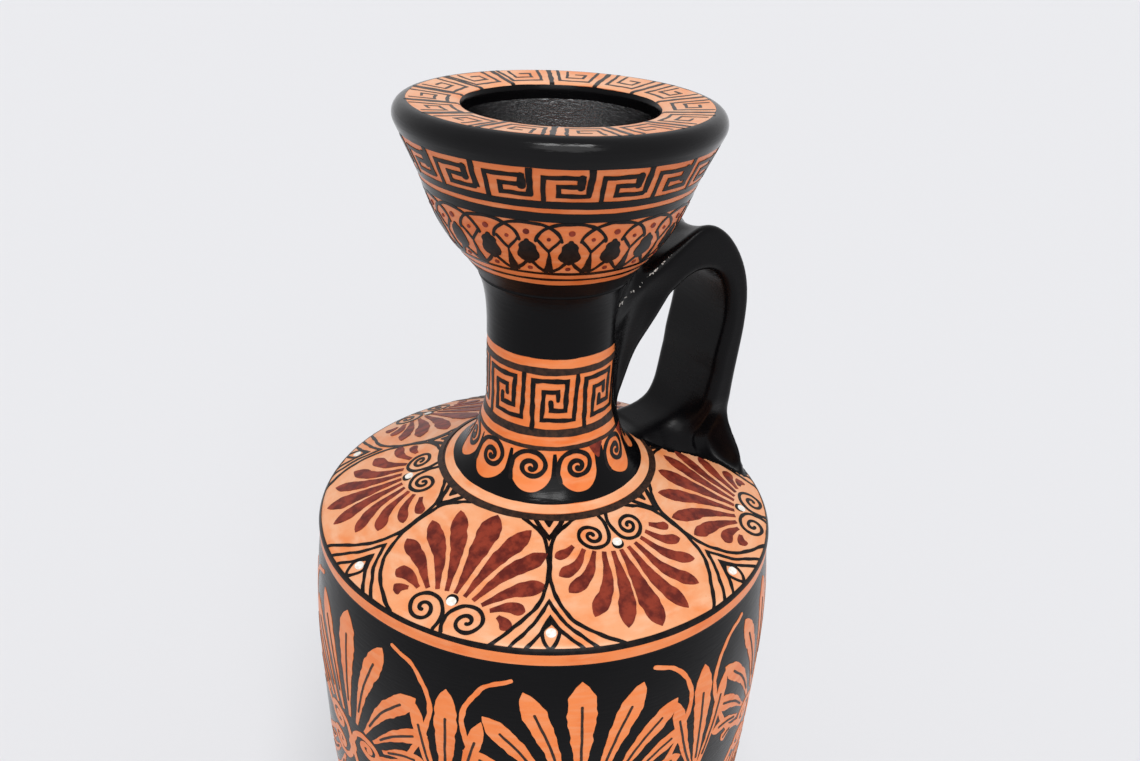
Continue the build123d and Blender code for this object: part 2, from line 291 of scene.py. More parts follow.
class Run:
    """A run of a turned section: finds lengths along it and places points on the surface that it turns."""

    def __init__(self, points):
        self.radius, self.height = points.T
        self.along = np.concatenate([[0], np.cumsum(np.hypot(*np.diff(points, axis=0).T))])
        slope = np.gradient(points, self.along, axis=0)
        slope /= np.linalg.norm(slope, axis=1)[:, None]
        self.normal = np.stack([slope[:, 1], -slope[:, 0]], axis=1)

    def crossing(self, values, level, after):
        """Length along the run where values first cross a level."""
        for i in range(len(values) - 1):
            low, high = values[i], values[i + 1]
            if self.along[i + 1] > after and min(low, high) <= level <= max(low, high) and low != high:
                share = (level - low) / (high - low)
                return self.along[i] + share * (self.along[i + 1] - self.along[i])
        raise RuntimeError(f"the run has no point at {level}")

    def at_height(self, height, after=0.0):
        """Length along the run at a height in millimetres."""
        return self.crossing(self.height, height, after)

    def at_radius(self, radius, after=0.0):
        """Length along the run at a radius in millimetres."""
        return self.crossing(self.radius, radius, after)

    def radius_at(self, along):
        """Radius in millimetres at a length along the run."""
        return np.interp(along, self.along, self.radius)

    def place(self, angle, along, lift):
        """Points in metres at angles in degrees and lengths along the run, lifted off the surface."""
        out = np.interp(along, self.along, self.normal[:, 0])
        up = np.interp(along, self.along, self.normal[:, 1])
        radius = np.interp(along, self.along, self.radius) + out * lift
        height = np.interp(along, self.along, self.height) + up * lift
        turn = np.radians(angle)
        return np.stack([radius * np.cos(turn), radius * np.sin(turn), height], axis=-1) * MM


# Runs of the turned sections that carry paint, by the points (radius, height) in millimetres that they pass
mouth_run = Run(outline("mouth", (15.9, 245.8), (32.4, 277.0), (19.2, 280.4), (8.5, 252.1)))
neck_run = Run(outline("neck", (23.4, 199.8), (14.0, 228.0), (15.9, 245.3)))
shoulder_run = Run(outline("shoulder", (52.0, 185.0), (51.5, 188.3), (23.9, 199.6)))
body_run = Run(outline("body", (19.0, 15.5), (52.0, 184.5)))
foot_run = Run(outline("foot", (36.0, 0.0), (19.0, 15.0)))


def sway(distance, wave, hand):
    """A smooth random curve between about -1 and 1, whose waves are about as long as wave."""
    total = np.zeros(len(distance))
    for share in (1.0, 0.62, 0.37):
        phase = hand.uniform(0, 2 * math.pi)
        total += math.sqrt(share) * np.sin(2 * math.pi * np.asarray(distance) / (wave * share) + phase)
    return total / 2


class Slip:
    """Coats and strokes of one slip on one run of clay, gathered into one mesh."""

    def __init__(self, run, lift, seed=1):
        layers = settings().layers
        self.run = run
        self.lift = lift / MM
        self.sink = layers.sink / MM
        self.wobble = layers.wobble / MM
        self.hand = np.random.default_rng(seed)
        self.points = []
        self.quads = []
        self.count = 0

    def sheet(self, angle, along, closed=False):
        """A grid of points on the surface, with an edge that reaches down into the clay."""
        border = ((0, 0), (1, 1)) if closed else ((1, 1), (1, 1))
        angle = np.pad(angle, border, mode="edge")
        along = np.pad(along, border, mode="edge")
        lift = np.full(angle.shape, self.lift)
        lift[:, [0, -1]] = -self.sink
        if not closed:
            lift[[0, -1], :] = -self.sink
        index = self.count + np.arange(angle.size).reshape(angle.shape)
        if closed:
            index = np.vstack([index, index[:1]])
        corners = (index[:-1, :-1], index[1:, :-1], index[1:, 1:], index[:-1, 1:])
        self.points.append(self.run.place(angle, along, lift).reshape(-1, 3))
        self.quads.append(np.stack(corners, axis=-1).reshape(-1, 4))
        self.count += angle.size

    def band(self, low, high, first=-180.0, last=180.0, fine=1):
        """A band between two lengths along the run, each a number or a function of the angle."""
        closed = last - first >= 360
        angle = np.linspace(first, last, int(fine * (last - first)) + 1)
        if closed:
            angle = angle[:-1]
        edges = []
        for edge in (low, high):
            level = np.array([edge(a) for a in angle]) if callable(edge) else np.full(len(angle), float(edge))
            stray = self.wobble * (sway(angle, 120.0, self.hand) + 0.4 * sway(angle, 24.0, self.hand))
            at_end = (level <= 0) | (level >= self.run.along[-1])
            edges.append(np.where(at_end, level, level + stray))
        across = np.linspace(0, 1, 2 + int(np.max(edges[1] - edges[0]) / 0.6))
        along = edges[0][:, None] + (edges[1] - edges[0])[:, None] * across
        self.sheet(np.repeat(angle[:, None], len(across), axis=1), along, closed)

    def stroke(self, path, width, across=2, round_ends=True, steady=1.0, step=0.45):
        """A brush line on a path of (degrees, millimetres along the run), of one width or one per point."""
        path = np.asarray(path, float)
        width = np.broadcast_to(np.asarray(width, float), len(path)).copy()
        scale = np.radians(1.0) * self.run.radius_at(path[:, 1]).mean()
        legs = np.hypot(np.diff(path[:, 0]) * scale, np.diff(path[:, 1]))
        length = np.concatenate([[0], np.cumsum(legs)])
        stops = []
        for a, b in zip(length, length[1:]):
            stops.append(np.linspace(a, b, max(2, math.ceil((b - a) / step) + 1)))
        stops = np.unique(np.round(np.concatenate(stops), 6))
        line = np.stack([np.interp(stops, length, path[:, i]) for i in (0, 1)], axis=1) * (scale, 1)
        half = np.interp(stops, length, width) / 2
        run = np.diff(line, axis=0)
        run /= np.linalg.norm(run, axis=1)[:, None]
        before = np.vstack([run[:1], run])
        after = np.vstack([run, run[-1:]])
        heading = before + after
        heading /= np.maximum(np.linalg.norm(heading, axis=1), 1e-6)[:, None]
        mitre = 1 / np.clip((heading * before).sum(axis=1), 0.6, 1)
        side = np.stack([-heading[:, 1], heading[:, 0]], axis=1)
        if steady:
            line = line + side * (steady * self.wobble * sway(stops, 9.0, self.hand))[:, None]
            half = half * (1 + 0.16 * steady * sway(stops, 6.0, self.hand))
        reach = half * mitre
        if round_ends:
            caps = np.array([0.97, 0.8, 0.55, 0.28])
            line = np.vstack([
                line[0] - heading[0] * half[0] * caps[:, None],
                line,
                line[-1] + heading[-1] * half[-1] * caps[::-1, None],
            ])
            taper = np.sqrt(1 - caps**2)
            reach = np.concatenate([half[0] * taper, reach, half[-1] * taper[::-1]])
            side = np.vstack([np.repeat(side[:1], 4, axis=0), side, np.repeat(side[-1:], 4, axis=0)])
        spread = np.linspace(-1, 1, across + 1)
        grid = line[:, None, :] + side[:, None, :] * (reach[:, None] * spread)[:, :, None]
        middle = line[:, None, :]
        along = grid[:, :, 1]
        local = np.radians(1.0) * self.run.radius_at(along)
        angle = middle[:, :, 0] / scale + (grid[:, :, 0] - middle[:, :, 0]) / local
        self.sheet(angle, along)

    def dot(self, angle, along, size):
        """A round dab of the brush."""
        turn = math.degrees(0.05 * size / self.run.radius_at(along))
        self.stroke([(angle - turn, along), (angle + turn, along)], size, across=4, steady=0)

    def make(self, name, material, slot):
        """The gathered coats as one piece that rides on the vessel."""
        mesh = bpy.data.meshes.new(name)
        mesh.from_pydata(np.vstack(self.points).tolist(), [], np.vstack(self.quads).tolist())
        mesh.shade_smooth()
        mesh.set_sharp_from_angle(angle=math.radians(50))
        mesh.materials.append(material)
        piece = bpy.data.objects.new(name, mesh)
        bpy.context.scene.collection.objects.link(piece)
        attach(piece, "root")
        return piece


# Materials


def linear(hex_value):
    """Linear RGBA of an sRGB hex value."""
    levels = [int(hex_value[i : i + 2], 16) / 255 for i in (1, 3, 5)]
    return [c / 12.92 if c <= 0.04045 else ((c + 0.055) / 1.055) ** 2.4 for c in levels] + [1.0]


def per_mm(size):
    """Texture scale whose features are about size millimetres across."""
    return 1 / (size * MM)


# Sockets of a mix of colours, which share their names with the sockets of other mixes
SHARE, FIRST, SECOND, MIXED = 0, 6, 7, 2
COLOURS = {"data_type": "RGBA"}
SMOOTH = {"interpolation_type": "SMOOTHSTEP"}


def span(low, high, least=0.0, most=1.0):
    """Socket values that map one range of values to another."""
    return {"From Min": low, "From Max": high, "To Min": least, "To Max": most}


def add(tree, kind, values=None, links=None, **options):
    """Add one shader node with its options, its socket values and the links into its sockets."""
    node = tree.nodes.new("ShaderNode" + kind)
    for key, value in options.items():
        setattr(node, key, value)
    for key, value in (values or {}).items():
        node.inputs[key].default_value = value
    for key, socket in (links or {}).items():
        tree.links.new(socket, node.inputs[key])
    return node


def new_material(name):
    """A material by name with its empty node tree, or with None where it is already made."""
    if name in bpy.data.materials:
        return bpy.data.materials[name], None
    material = bpy.data.materials.new(name)
    material.use_nodes = True
    material.node_tree.nodes.clear()
    return material, material.node_tree


def orange_wash(name="orange_wash_on_clay", tone="orange"):
    """Fired clay under a brushed orange wash and a satin varnish."""
    # The wash dries unevenly: cloudy blotches, streaks that the brush left round the vessel, fine dark grit
    material, tree = new_material(name)
    if tree is None:
        return material
    colours = settings().colours
    middle, deep, light = (linear(getattr(colours, tone + coat)) for coat in ("", "_deep", "_light"))
    place = add(tree, "TexCoord").outputs["Object"]
    noise = {"Scale": per_mm(11), "Detail": 4.0, "Roughness": 0.6}
    blotch = add(tree, "TexNoise", noise, {"Vector": place}).outputs["Fac"]
    flat = add(tree, "Mapping", {"Scale": (1.0, 1.0, 6.0)}, {"Vector": place}).outputs["Vector"]
    streak = add(tree, "TexNoise", {"Scale": per_mm(7), "Detail": 3.0}, {"Vector": flat}).outputs["Fac"]
    grit = add(tree, "TexNoise", {"Scale": per_mm(0.5), "Detail": 2.0}, {"Vector": place}).outputs["Fac"]
    thick = add(tree, "MapRange", span(0.42, 0.72, 0.0, 0.75), {"Value": blotch}, **SMOOTH)
    thin = add(tree, "MapRange", span(0.40, 0.75, 0.0, 0.7), {"Value": streak}, **SMOOTH)
    specks = add(tree, "MapRange", span(0.66, 0.78, 0.0, 0.5), {"Value": grit})
    mixed = add(tree, "Mix", {FIRST: middle, SECOND: deep}, {SHARE: thick.outputs[0]}, **COLOURS)
    for shade, share in ((light, thin), (deep, specks)):
        links = {SHARE: share.outputs[0], FIRST: mixed.outputs[MIXED]}
        mixed = add(tree, "Mix", {SECOND: shade}, links, **COLOURS)
    rough = add(tree, "MapRange", span(0.0, 1.0, 0.24, 0.42), {"Value": blotch})
    bump = add(tree, "Bump", {"Strength": 0.12, "Distance": 0.2 * MM}, {"Height": streak})
    links = {"Base Color": mixed.outputs[MIXED], "Roughness": rough.outputs[0], "Normal": bump.outputs[0]}
    surface = add(tree, "BsdfPrincipled", {"IOR": 1.5, "Specular IOR Level": 0.28}, links)
    add(tree, "OutputMaterial", links={"Surface": surface.outputs[0]})
    return material


def black_slip(
    name="black_slip_burnished",
    ridge_mm=0.55,
    ridge=0.18,
    rough=(0.15, 0.26),
    shine=0.1,
    stretch=8,
    chips=None,
    ior=1.5,
):
    """Fine black slip, brushed on while the vessel turns, fired and varnished."""
    # Satin black with faint brush lines round the vessel, which break the sheen at its sides. Chips show the
    # white ground along a worn edge, which a mesh gives as its edge_wear attribute.
    material, tree = new_material(name)
    if tree is None:
        return material
    colours = settings().colours
    place = add(tree, "TexCoord").outputs["Object"]
    squeeze = {"Scale": (1 / stretch, 1 / stretch, 1.0)}
    flat = add(tree, "Mapping", squeeze, {"Vector": place}).outputs["Vector"]
    noise = {"Scale": per_mm(ridge_mm), "Detail": 3.0, "Roughness": 0.6}
    lines = add(tree, "TexNoise", noise, {"Vector": flat}).outputs["Fac"]
    noise = {"Scale": per_mm(9), "Detail": 5.0, "Roughness": 0.65}
    cloud = add(tree, "TexNoise", noise, {"Vector": place}).outputs["Fac"]
    shades = {FIRST: linear(colours.black), SECOND: linear(colours.black_grey)}
    mixed = add(tree, "Mix", shades, {SHARE: cloud}, **COLOURS)
    if chips:
        wear = add(tree, "Attribute", attribute_name="edge_wear").outputs["Fac"]
        noise = {"Scale": per_mm(0.8), "Detail": 3.0, "Roughness": 0.7}
        flake = add(tree, "TexNoise", noise, {"Vector": place}).outputs["Fac"]
        worn = add(tree, "Math", links={0: wear, 1: flake}, operation="MULTIPLY")
        bare = add(tree, "MapRange", span(0.5, 0.55), {"Value": worn.outputs[0]})
        links = {SHARE: bare.outputs[0], FIRST: mixed.outputs[MIXED]}
        mixed = add(tree, "Mix", {SECOND: linear(chips)}, links, **COLOURS)
    gloss = add(tree, "MapRange", span(0.3, 0.7, *rough), {"Value": cloud})
    bump = add(tree, "Bump", {"Strength": ridge, "Distance": 0.3 * MM}, {"Height": lines})
    links = {"Base Color": mixed.outputs[MIXED], "Roughness": gloss.outputs[0], "Normal": bump.outputs[0]}
    surface = add(tree, "BsdfPrincipled", {"IOR": ior, "Specular IOR Level": shine}, links)
    add(tree, "OutputMaterial", links={"Surface": surface.outputs[0]})
    return material


def brushed_slip(name, thick, thin, streak_mm=1.1, rough=0.42, shine=0.5):
    """A slip colour laid with a loaded brush, so that it pools in places."""
    # Two tones of one pigment in soft streaks as wide as the brush's hairs leave them
    material, tree = new_material(name)
    if tree is None:
        return material
    place = add(tree, "TexCoord").outputs["Object"]
    noise = {"Scale": per_mm(streak_mm), "Detail": 3.0, "Roughness": 0.6}
    pool = add(tree, "TexNoise", noise, {"Vector": place}).outputs["Fac"]
    share = add(tree, "MapRange", span(0.35, 0.65), {"Value": pool}, **SMOOTH).outputs[0]
    mixed = add(tree, "Mix", {FIRST: linear(thick), SECOND: linear(thin)}, {SHARE: share}, **COLOURS)
    bump = add(tree, "Bump", {"Strength": 0.1, "Distance": 0.2 * MM}, {"Height": pool})
    values = {"IOR": 1.5, "Roughness": rough, "Specular IOR Level": shine}
    links = {"Base Color": mixed.outputs[MIXED], "Normal": bump.outputs[0]}
    surface = add(tree, "BsdfPrincipled", values, links)
    add(tree, "OutputMaterial", links={"Surface": surface.outputs[0]})
    return material


def wash_with_painted_sheen():
    """The orange wash made paler on the shoulder, the lip and the collar, which face up: painted sheen of the
    light from above.
    """
    return orange_wash("orange_wash_with_painted_sheen", "pale")


def wash_with_painted_shade():
    """The orange wash on the cup made darker, as painted shade where the cup turns away from the light above.
    """
    return orange_wash("orange_wash_with_painted_shade", "cup")


def black_line():
    """Black slip drawn with a fine brush: it pools, so it is nearly even and a little browner where thin."""
    colours = settings().colours
    return brushed_slip("black_slip_line", colours.black, colours.black_thin, 1.4, 0.3, 0.14)


def brown_slip():
    """Black slip thinned with water, which fires brown."""
    colours = settings().colours
    return brushed_slip("brown_slip", colours.brown, colours.brown_thin, 1.1, 0.42, 0.2)


def red_slip():
    """Iron red slip in loose strokes, darker where the brush was full."""
    colours = settings().colours
    return brushed_slip("red_slip", colours.red_dark, colours.red, 2.6, 0.4, 0.16)


def white_slip():
    """Chalky white slip in thick dabs."""
    colours = settings().colours
    return brushed_slip("white_slip", colours.white, colours.white_thin, 0.6, 0.6)


def paint(node, material):
    """Give a CAD node its finish."""
    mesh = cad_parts[node].data
    mesh.materials.clear()
    mesh.materials.append(material)


# Drawing of the ornament, in degrees round the vessel and millimetres along a run


def curve(points, count=24):
    """A smooth line through points."""
    points = np.asarray(points, float)
    spans = np.concatenate([[0], np.cumsum(np.linalg.norm(np.diff(points, axis=0), axis=1))])
    ends = np.vstack([2 * points[0] - points[1], points, 2 * points[-1] - points[-2]])
    line = []
    for i in range(len(points) - 1):
        p0, p1, p2, p3 = ends[i : i + 4]
        share = np.linspace(0, 1, max(3, int(count * (spans[i + 1] - spans[i]) / spans[-1]) + 2))[:, None]
        line.append(
            p1
            + share * (p2 - p0) / 2
            + share**2 * (2 * p0 - 5 * p1 + 4 * p2 - p3) / 2
            + share**3 * (3 * p1 - p0 - 3 * p2 + p3) / 2
        )
    joined = np.vstack(line)
    keep = np.concatenate([[True], np.linalg.norm(np.diff(joined, axis=0), axis=1) > 1e-9])
    return joined[keep]


def spiral(centre, wide, tall, start, turns, inner=0.12, count=34):
    """A spiral from its outer end, at the angle start in degrees; negative turns wind clockwise."""
    share = np.linspace(0, 1, int(count * abs(turns)))
    angle = np.radians(start) + 2 * math.pi * turns * share
    reach = 1 - (1 - inner) * share**0.85
    x = centre[0] + wide * reach * np.cos(angle)
    y = centre[1] + tall * reach * np.sin(angle)
    return np.stack([x, y], axis=1)


def in_box(points, start, turn, low, high):
    """Points drawn in a unit box, laid from a start angle over a turn and between two lengths along a run."""
    return [(start + x * turn, low + y * (high - low)) for x, y in points]


class Sketch:
    """Local drawing space in millimetres about a point on a run: x round the vessel, y along the run."""

    def __init__(self, run, angle, along, up=1.0):
        self.run = run
        self.angle = angle
        self.along = along
        self.up = up

    def on(self, points):
        """Drawn points as degrees and millimetres along the run."""
        points = np.asarray(points, float)
        along = self.along + self.up * points[:, 1]
        return np.stack([self.angle + np.degrees(points[:, 0] / self.run.radius_at(along)), along], axis=1)


class Fan(NamedTuple):
    """A palmette's leaves: how many beside the middle one, turns in degrees and sizes in millimetres."""

    leaves: int
    lean: float
    gather: float
    longest: float
    shorten: float
    widest: float
    spread: float
    shortest: float = 0.0


class Coils(NamedTuple):
    """A pair of volutes: their place from the heart, size, turns and how far back their stems start."""

    out: float
    back: float
    wide: float
    tall: float
    turns: float
    stem: float


STANDING_FAN = Fan(5, 24.5, 0.8, 21.4, 0.4, 4.4, 2.05, 13.6)
HANGING_FAN = Fan(5, 21.6, 1.0, 20.4, 0.25, 4.0, 1.9)
FRIEZE_UPPER_FAN = Fan(5, 24.5, 1.1, 31.5, 0.5, 5.4, 3.0)
FRIEZE_LOWER_FAN = Fan(4, 24.5, 1.1, 27.0, 0.5, 5.0, 2.8)
STANDING_COILS = Coils(4.8, 3.2, 8.8, 8.0, 1.7, 6.4)
HANGING_COILS = Coils(4.5, 2.7, 7.6, 7.2, 1.95, 7.0)
FRIEZE_COILS = Coils(6.4, 3.4, 10.5, 7.2, 1.6, 6.8)

# How far in millimetres each leaf bows outwards, from the middle one to the last
LEAF_BOWS = (0.0, 0.9, 1.5, 1.2, 0.9, 0.3)
LEAF_BASE = 0.9
RIB_WIDTH = 0.55


def leaf_widths(count, widest, base):
    """Widths of a leaf from its thin base, through its full middle, to its pointed tip."""
    share = np.linspace(0, 1, count)
    swell = np.clip(share / 0.72, 0, 1)
    body = base + (widest - base) * swell**1.6 * (1.8 - 0.8 * swell)
    close = np.clip((share - 0.8) / 0.2, 0, 1)
    return np.maximum(body * (1 - close**1.7) ** 0.75, 0.12)


def leaf(slip, path, widest, base):
    """One leaf in a full stroke of the brush."""
    slip.stroke(path, leaf_widths(len(path), widest, base), 4, False, 0.5, 0.6)


def palmette(slip, sketch, fan, ribs=None):
    """A fan of leaves that start on a flat arch over the palmette's heart and bow outwards."""
    for k in range(-fan.leaves, fan.leaves + 1):
        order = abs(k)
        turn = math.radians(fan.lean * order - fan.gather * order**2)
        side = 1 if k > 0 else -1
        reach = max(fan.longest - fan.shorten * order**2, fan.shortest)
        base = np.array([side * fan.spread * order * 0.98, 1.9 - 0.11 * order**2])
        tip = np.array([side * reach * math.sin(turn), reach * math.cos(turn)])
        tip += slip.hand.normal(0, 0.35, 2)
        run = tip - base
        outwards = np.array([-side * run[1], side * run[0]]) / np.linalg.norm(run)
        line = curve([base, (base + tip) / 2 + outwards * LEAF_BOWS[order], tip], 22)
        wide = fan.widest * (1.08 if k == 0 else 0.95 - 0.075 * order) * slip.hand.uniform(0.93, 1.07)
        leaf(slip, sketch.on(line), wide, LEAF_BASE)
        if ribs:
            ribs.stroke(sketch.on(line[4:-5]), RIB_WIDTH, 1, steady=0.5)


def volutes(slip, sketch, coils, width):
    """A pair of spirals behind a palmette's heart, each on a stem from the border behind it."""
    for side in (-1, 1):
        coil = spiral((coils.out, -coils.back), coils.wide / 2, coils.tall / 2, 180, -coils.turns, 0.1)
        bend = -coils.back - 0.55 * (coils.stem - coils.back)
        line = np.vstack([curve([(0.9, -coils.stem), (0.45, bend), coil[0]], 8)[:-1], coil])
        slip.stroke(sketch.on(line * (side, 1)), width, steady=0.8)


def heart(sketch, dark, light, size=1.9):
    """The white dot at a palmette's heart, with a dark edge on the side of the leaves."""
    for slip, place, width in ((dark, 0.45, 1.25), (light, 0.0, 1.0)):
        angle, along = sketch.on([(0, place)])[0]
        slip.dot(angle, along, width * size)


def coat(name, run, lift, seed, material, slot, *bands):
    """One piece of bands of a slip, each given as Slip.band takes it."""
    slip = Slip(run, lift, seed)
    for band in bands:
        slip.band(*band)
    slip.make(name, material, slot)


def lip_edges():
    """Lengths along the mouth's run of the outer and the inner edge of the lip's orange flat."""
    crest = mouth_run.along[np.argmax(mouth_run.radius)]
    outer = mouth_run.at_radius(LIP_FLAT_OUTER, crest)
    return outer, mouth_run.at_radius(LIP_FLAT_INNER, outer)


# Operators


class LEKYTHOS_OT_clay(bpy.types.Operator):
    """Give the turned clay sections and the slip in their joints their finish"""

    bl_idname = "lekythos.clay"
    bl_label = "Clay Sections"

    def execute(self, context):
        # The shoulder's paler wash is painted sheen of the light from above
        paint("shoulder", wash_with_painted_sheen())
        # The cup's darker wash is painted shade where it turns away from the light above
        paint("mouth", wash_with_painted_shade())
        paint("neck", orange_wash())
        for node in ("body", "foot", "foot_luting", "shoulder_luting", "mouth_luting"):
            paint(node, black_slip())
        paint("neck_luting", brown_slip())
        return {"FINISHED"}


def handle_outline():
    """Side outline of the CAD handle in its middle plane, as (x, z) in millimetres, in order."""
    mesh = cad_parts["handle"].data
    corners = np.array([vertex.co[:] for vertex in mesh.vertices]) / MM
    links = {}
    for triangle in mesh.polygons:
        spots = []
        loop = [corners[v] for v in triangle.vertices]
        for a, b in zip(loop, loop[1:] + loop[:1]):
            if (a[1] < 1e-4) != (b[1] < 1e-4):
                share = (1e-4 - a[1]) / (b[1] - a[1])
                point = a + share * (b - a)
                spots.append((round(point[0], 3), round(point[2], 3)))
        if len(spots) == 2 and spots[0] != spots[1]:
            links.setdefault(spots[0], []).append(spots[1])
            links.setdefault(spots[1], []).append(spots[0])
    start = max(links, key=lambda point: point[1])
    path = [start]
    previous = None
    while True:
        onward = [p for p in links[path[-1]] if p != previous and (p not in path[1:])]
        if not onward or onward[0] == start:
            break
        previous = path[-1]
        path.append(onward[0])
    return np.array(path)


def ease(share):
    """A smooth step from 0 to 1 as share goes from 0 to 1."""
    share = np.clip(share, 0, 1)
    return share * share * (3 - 2 * share)


def rise(values, start, length):
    """A smooth step from 0 to 1 that begins at start and takes a length, downwards where it is negative."""
    return ease((values - start) / length)


def strap_outline():
    """The handle's side outline with a tail of slip down the neck, and the line of its outer face."""
    path = handle_outline()
    x, z = path.T
    if np.sum(x * np.roll(z, -1) - z * np.roll(x, -1)) < 0:
        path = path[::-1]
    path = np.roll(path, -np.argmax(path[:, 1]), axis=0)
    x, z = path.T
    root = np.flatnonzero((x < 23.6) & (z < 243) & (z > 205))
    heel = np.argmax(np.where(z < 193, x, 0))
    leg = np.flatnonzero((x < 41) & (z > 219) & (z < 243.5))[-1]
    outer = np.vstack([path[heel + 1 :], path[: root[0]]])
    # Points (x, z) in millimetres: into the neck, down it in a tail, out to the toe and into the shoulder
    inside = [(12.8, 240.6), (9.0, 236.2), (4.0, 229.0), (4.0, 211.0)]
    tail = [(13.2, 211), (15.0, 215.5), (16.7, 220.5), (18.6, 226), (20.8, 231.6), (22.7, 235.6)]
    toe = [(39.3, 216), (38.0, 209.6), (36.9, 206.2), (35.0, 203.4), (32.2, 201.9)]
    toe += [(28.8, 201.1), (25.2, 200.5)]
    under = [(23.6, 199.6), (23.6, 194.0), (44.0, 186.5)]
    inner = path[root[-1] + 1 : leg + 1]
    squarer = rise(inner[:, 1], 221, 10) * rise(inner[:, 0], 30, 6)
    inner = inner + squarer[:, None] * [0.9, 0.6]
    legs = [path[: root[0]], inside, curve(tail, 30), inner, curve(toe, 30), under, path[heel:]]
    return np.vstack(legs), outer


def line_distance(points, line):
    """Distance in millimetres from points to a line of straight legs."""
    best = np.full(len(points), 1e9)
    for a, b in zip(line, line[1:]):
        leg = b - a
        if leg @ leg > 1e-12:
            off = points - a
            share = np.clip(off @ leg / (leg @ leg), 0, 1)
            best = np.minimum(best, np.linalg.norm(off - share[:, None] * leg, axis=1))
    return best


def polygon_distance(points, polygon):
    """Signed distance in millimetres from points to a closed polygon, negative inside."""
    closed = np.vstack([polygon, polygon[:1]])
    inside = np.zeros(len(points), bool)
    for a, b in zip(closed, closed[1:]):
        if a[1] != b[1]:
            spans = (a[1] > points[:, 1]) != (b[1] > points[:, 1])
            inside ^= spans & (points[:, 0] < a[0] + (b[0] - a[0]) * (points[:, 1] - a[1]) / (b[1] - a[1]))
    best = line_distance(points, closed)
    return np.where(inside, -best, best)


def surface_net(field, origin, step):
    """Vertices and quads of the zero level of a field sampled on a regular grid."""
    shape = np.array(field.shape) - 1
    corner = [(i, j, k) for i in (0, 1) for j in (0, 1) for k in (0, 1)]

    def at(c):
        return field[c[0] : c[0] + shape[0], c[1] : c[1] + shape[1], c[2] : c[2] + shape[2]]

    total = np.zeros((*shape, 3))
    hits = np.zeros(shape)
    for c in corner:
        for axis in range(3):
            if c[axis]:
                continue
            other = list(c)
            other[axis] = 1
            a, b = at(c), at(other)
            crossed = (a < 0) != (b < 0)
            share = np.where(crossed, a / np.where(crossed, a - b, 1), 0)
            spot = [np.full(shape, float(v)) for v in c]
            spot[axis] = share
            total += np.stack(spot, axis=-1) * crossed[..., None]
            hits += crossed
    active = hits > 0
    cells = np.argwhere(active)
    points = origin + step * (cells + total[active] / hits[active][:, None])
    index = np.full(shape, -1)
    index[active] = np.arange(len(cells))
    quads = []
    for axis in range(3):
        low = [slice(1, -1)] * 3
        low[axis] = slice(0, -1)
        high = list(low)
        high[axis] = slice(1, None)
        a, b = field[tuple(low)], field[tuple(high)]
        spots = np.argwhere((a < 0) != (b < 0)) + [0 if d == axis else 1 for d in range(3)]
        side = [d for d in range(3) if d != axis]
        if axis == 1:
            side = side[::-1]
        ring = []
        for du, dv in ((0, 0), (1, 0), (1, 1), (0, 1)):
            cell = spots.copy()
            cell[:, side[0]] -= du
            cell[:, side[1]] -= dv
            ring.append(index[tuple(cell.T)])
        ring = np.stack(ring, axis=1)
        outward = (a < 0)[tuple((spots - [0 if d == axis else 1 for d in range(3)]).T)]
        quads.append(np.where(outward[:, None], ring, ring[:, ::-1]))
    return points, np.vstack(quads)


# The strap's own measures in millimetres
GROOVE_DEPTH = 2.9
GROOVE_HALF_WIDTH = 10.4
ARM_NARROWER = 1.7
TAIL_NARROWER = 2.2
HEEL_WIDER = 4.4
FAR_EDGE_FULLER = 1.1
NEAR_TOE = ((30, 38, 43), (9.5, 6.4, 7.2))
FAR_TOE = 10.0
TOE_FALL = 0.11
TOE_EDGE_ROUNDER = 1.4
SKIN_LIFT = 0.2
GRID_MARGIN = 4.0

# Cosines of the walls' slopes, which turn a level or an upright distance into one square to the wall
NECK_SLOPE = 0.95
SHOULDER_SLOPE = 0.93


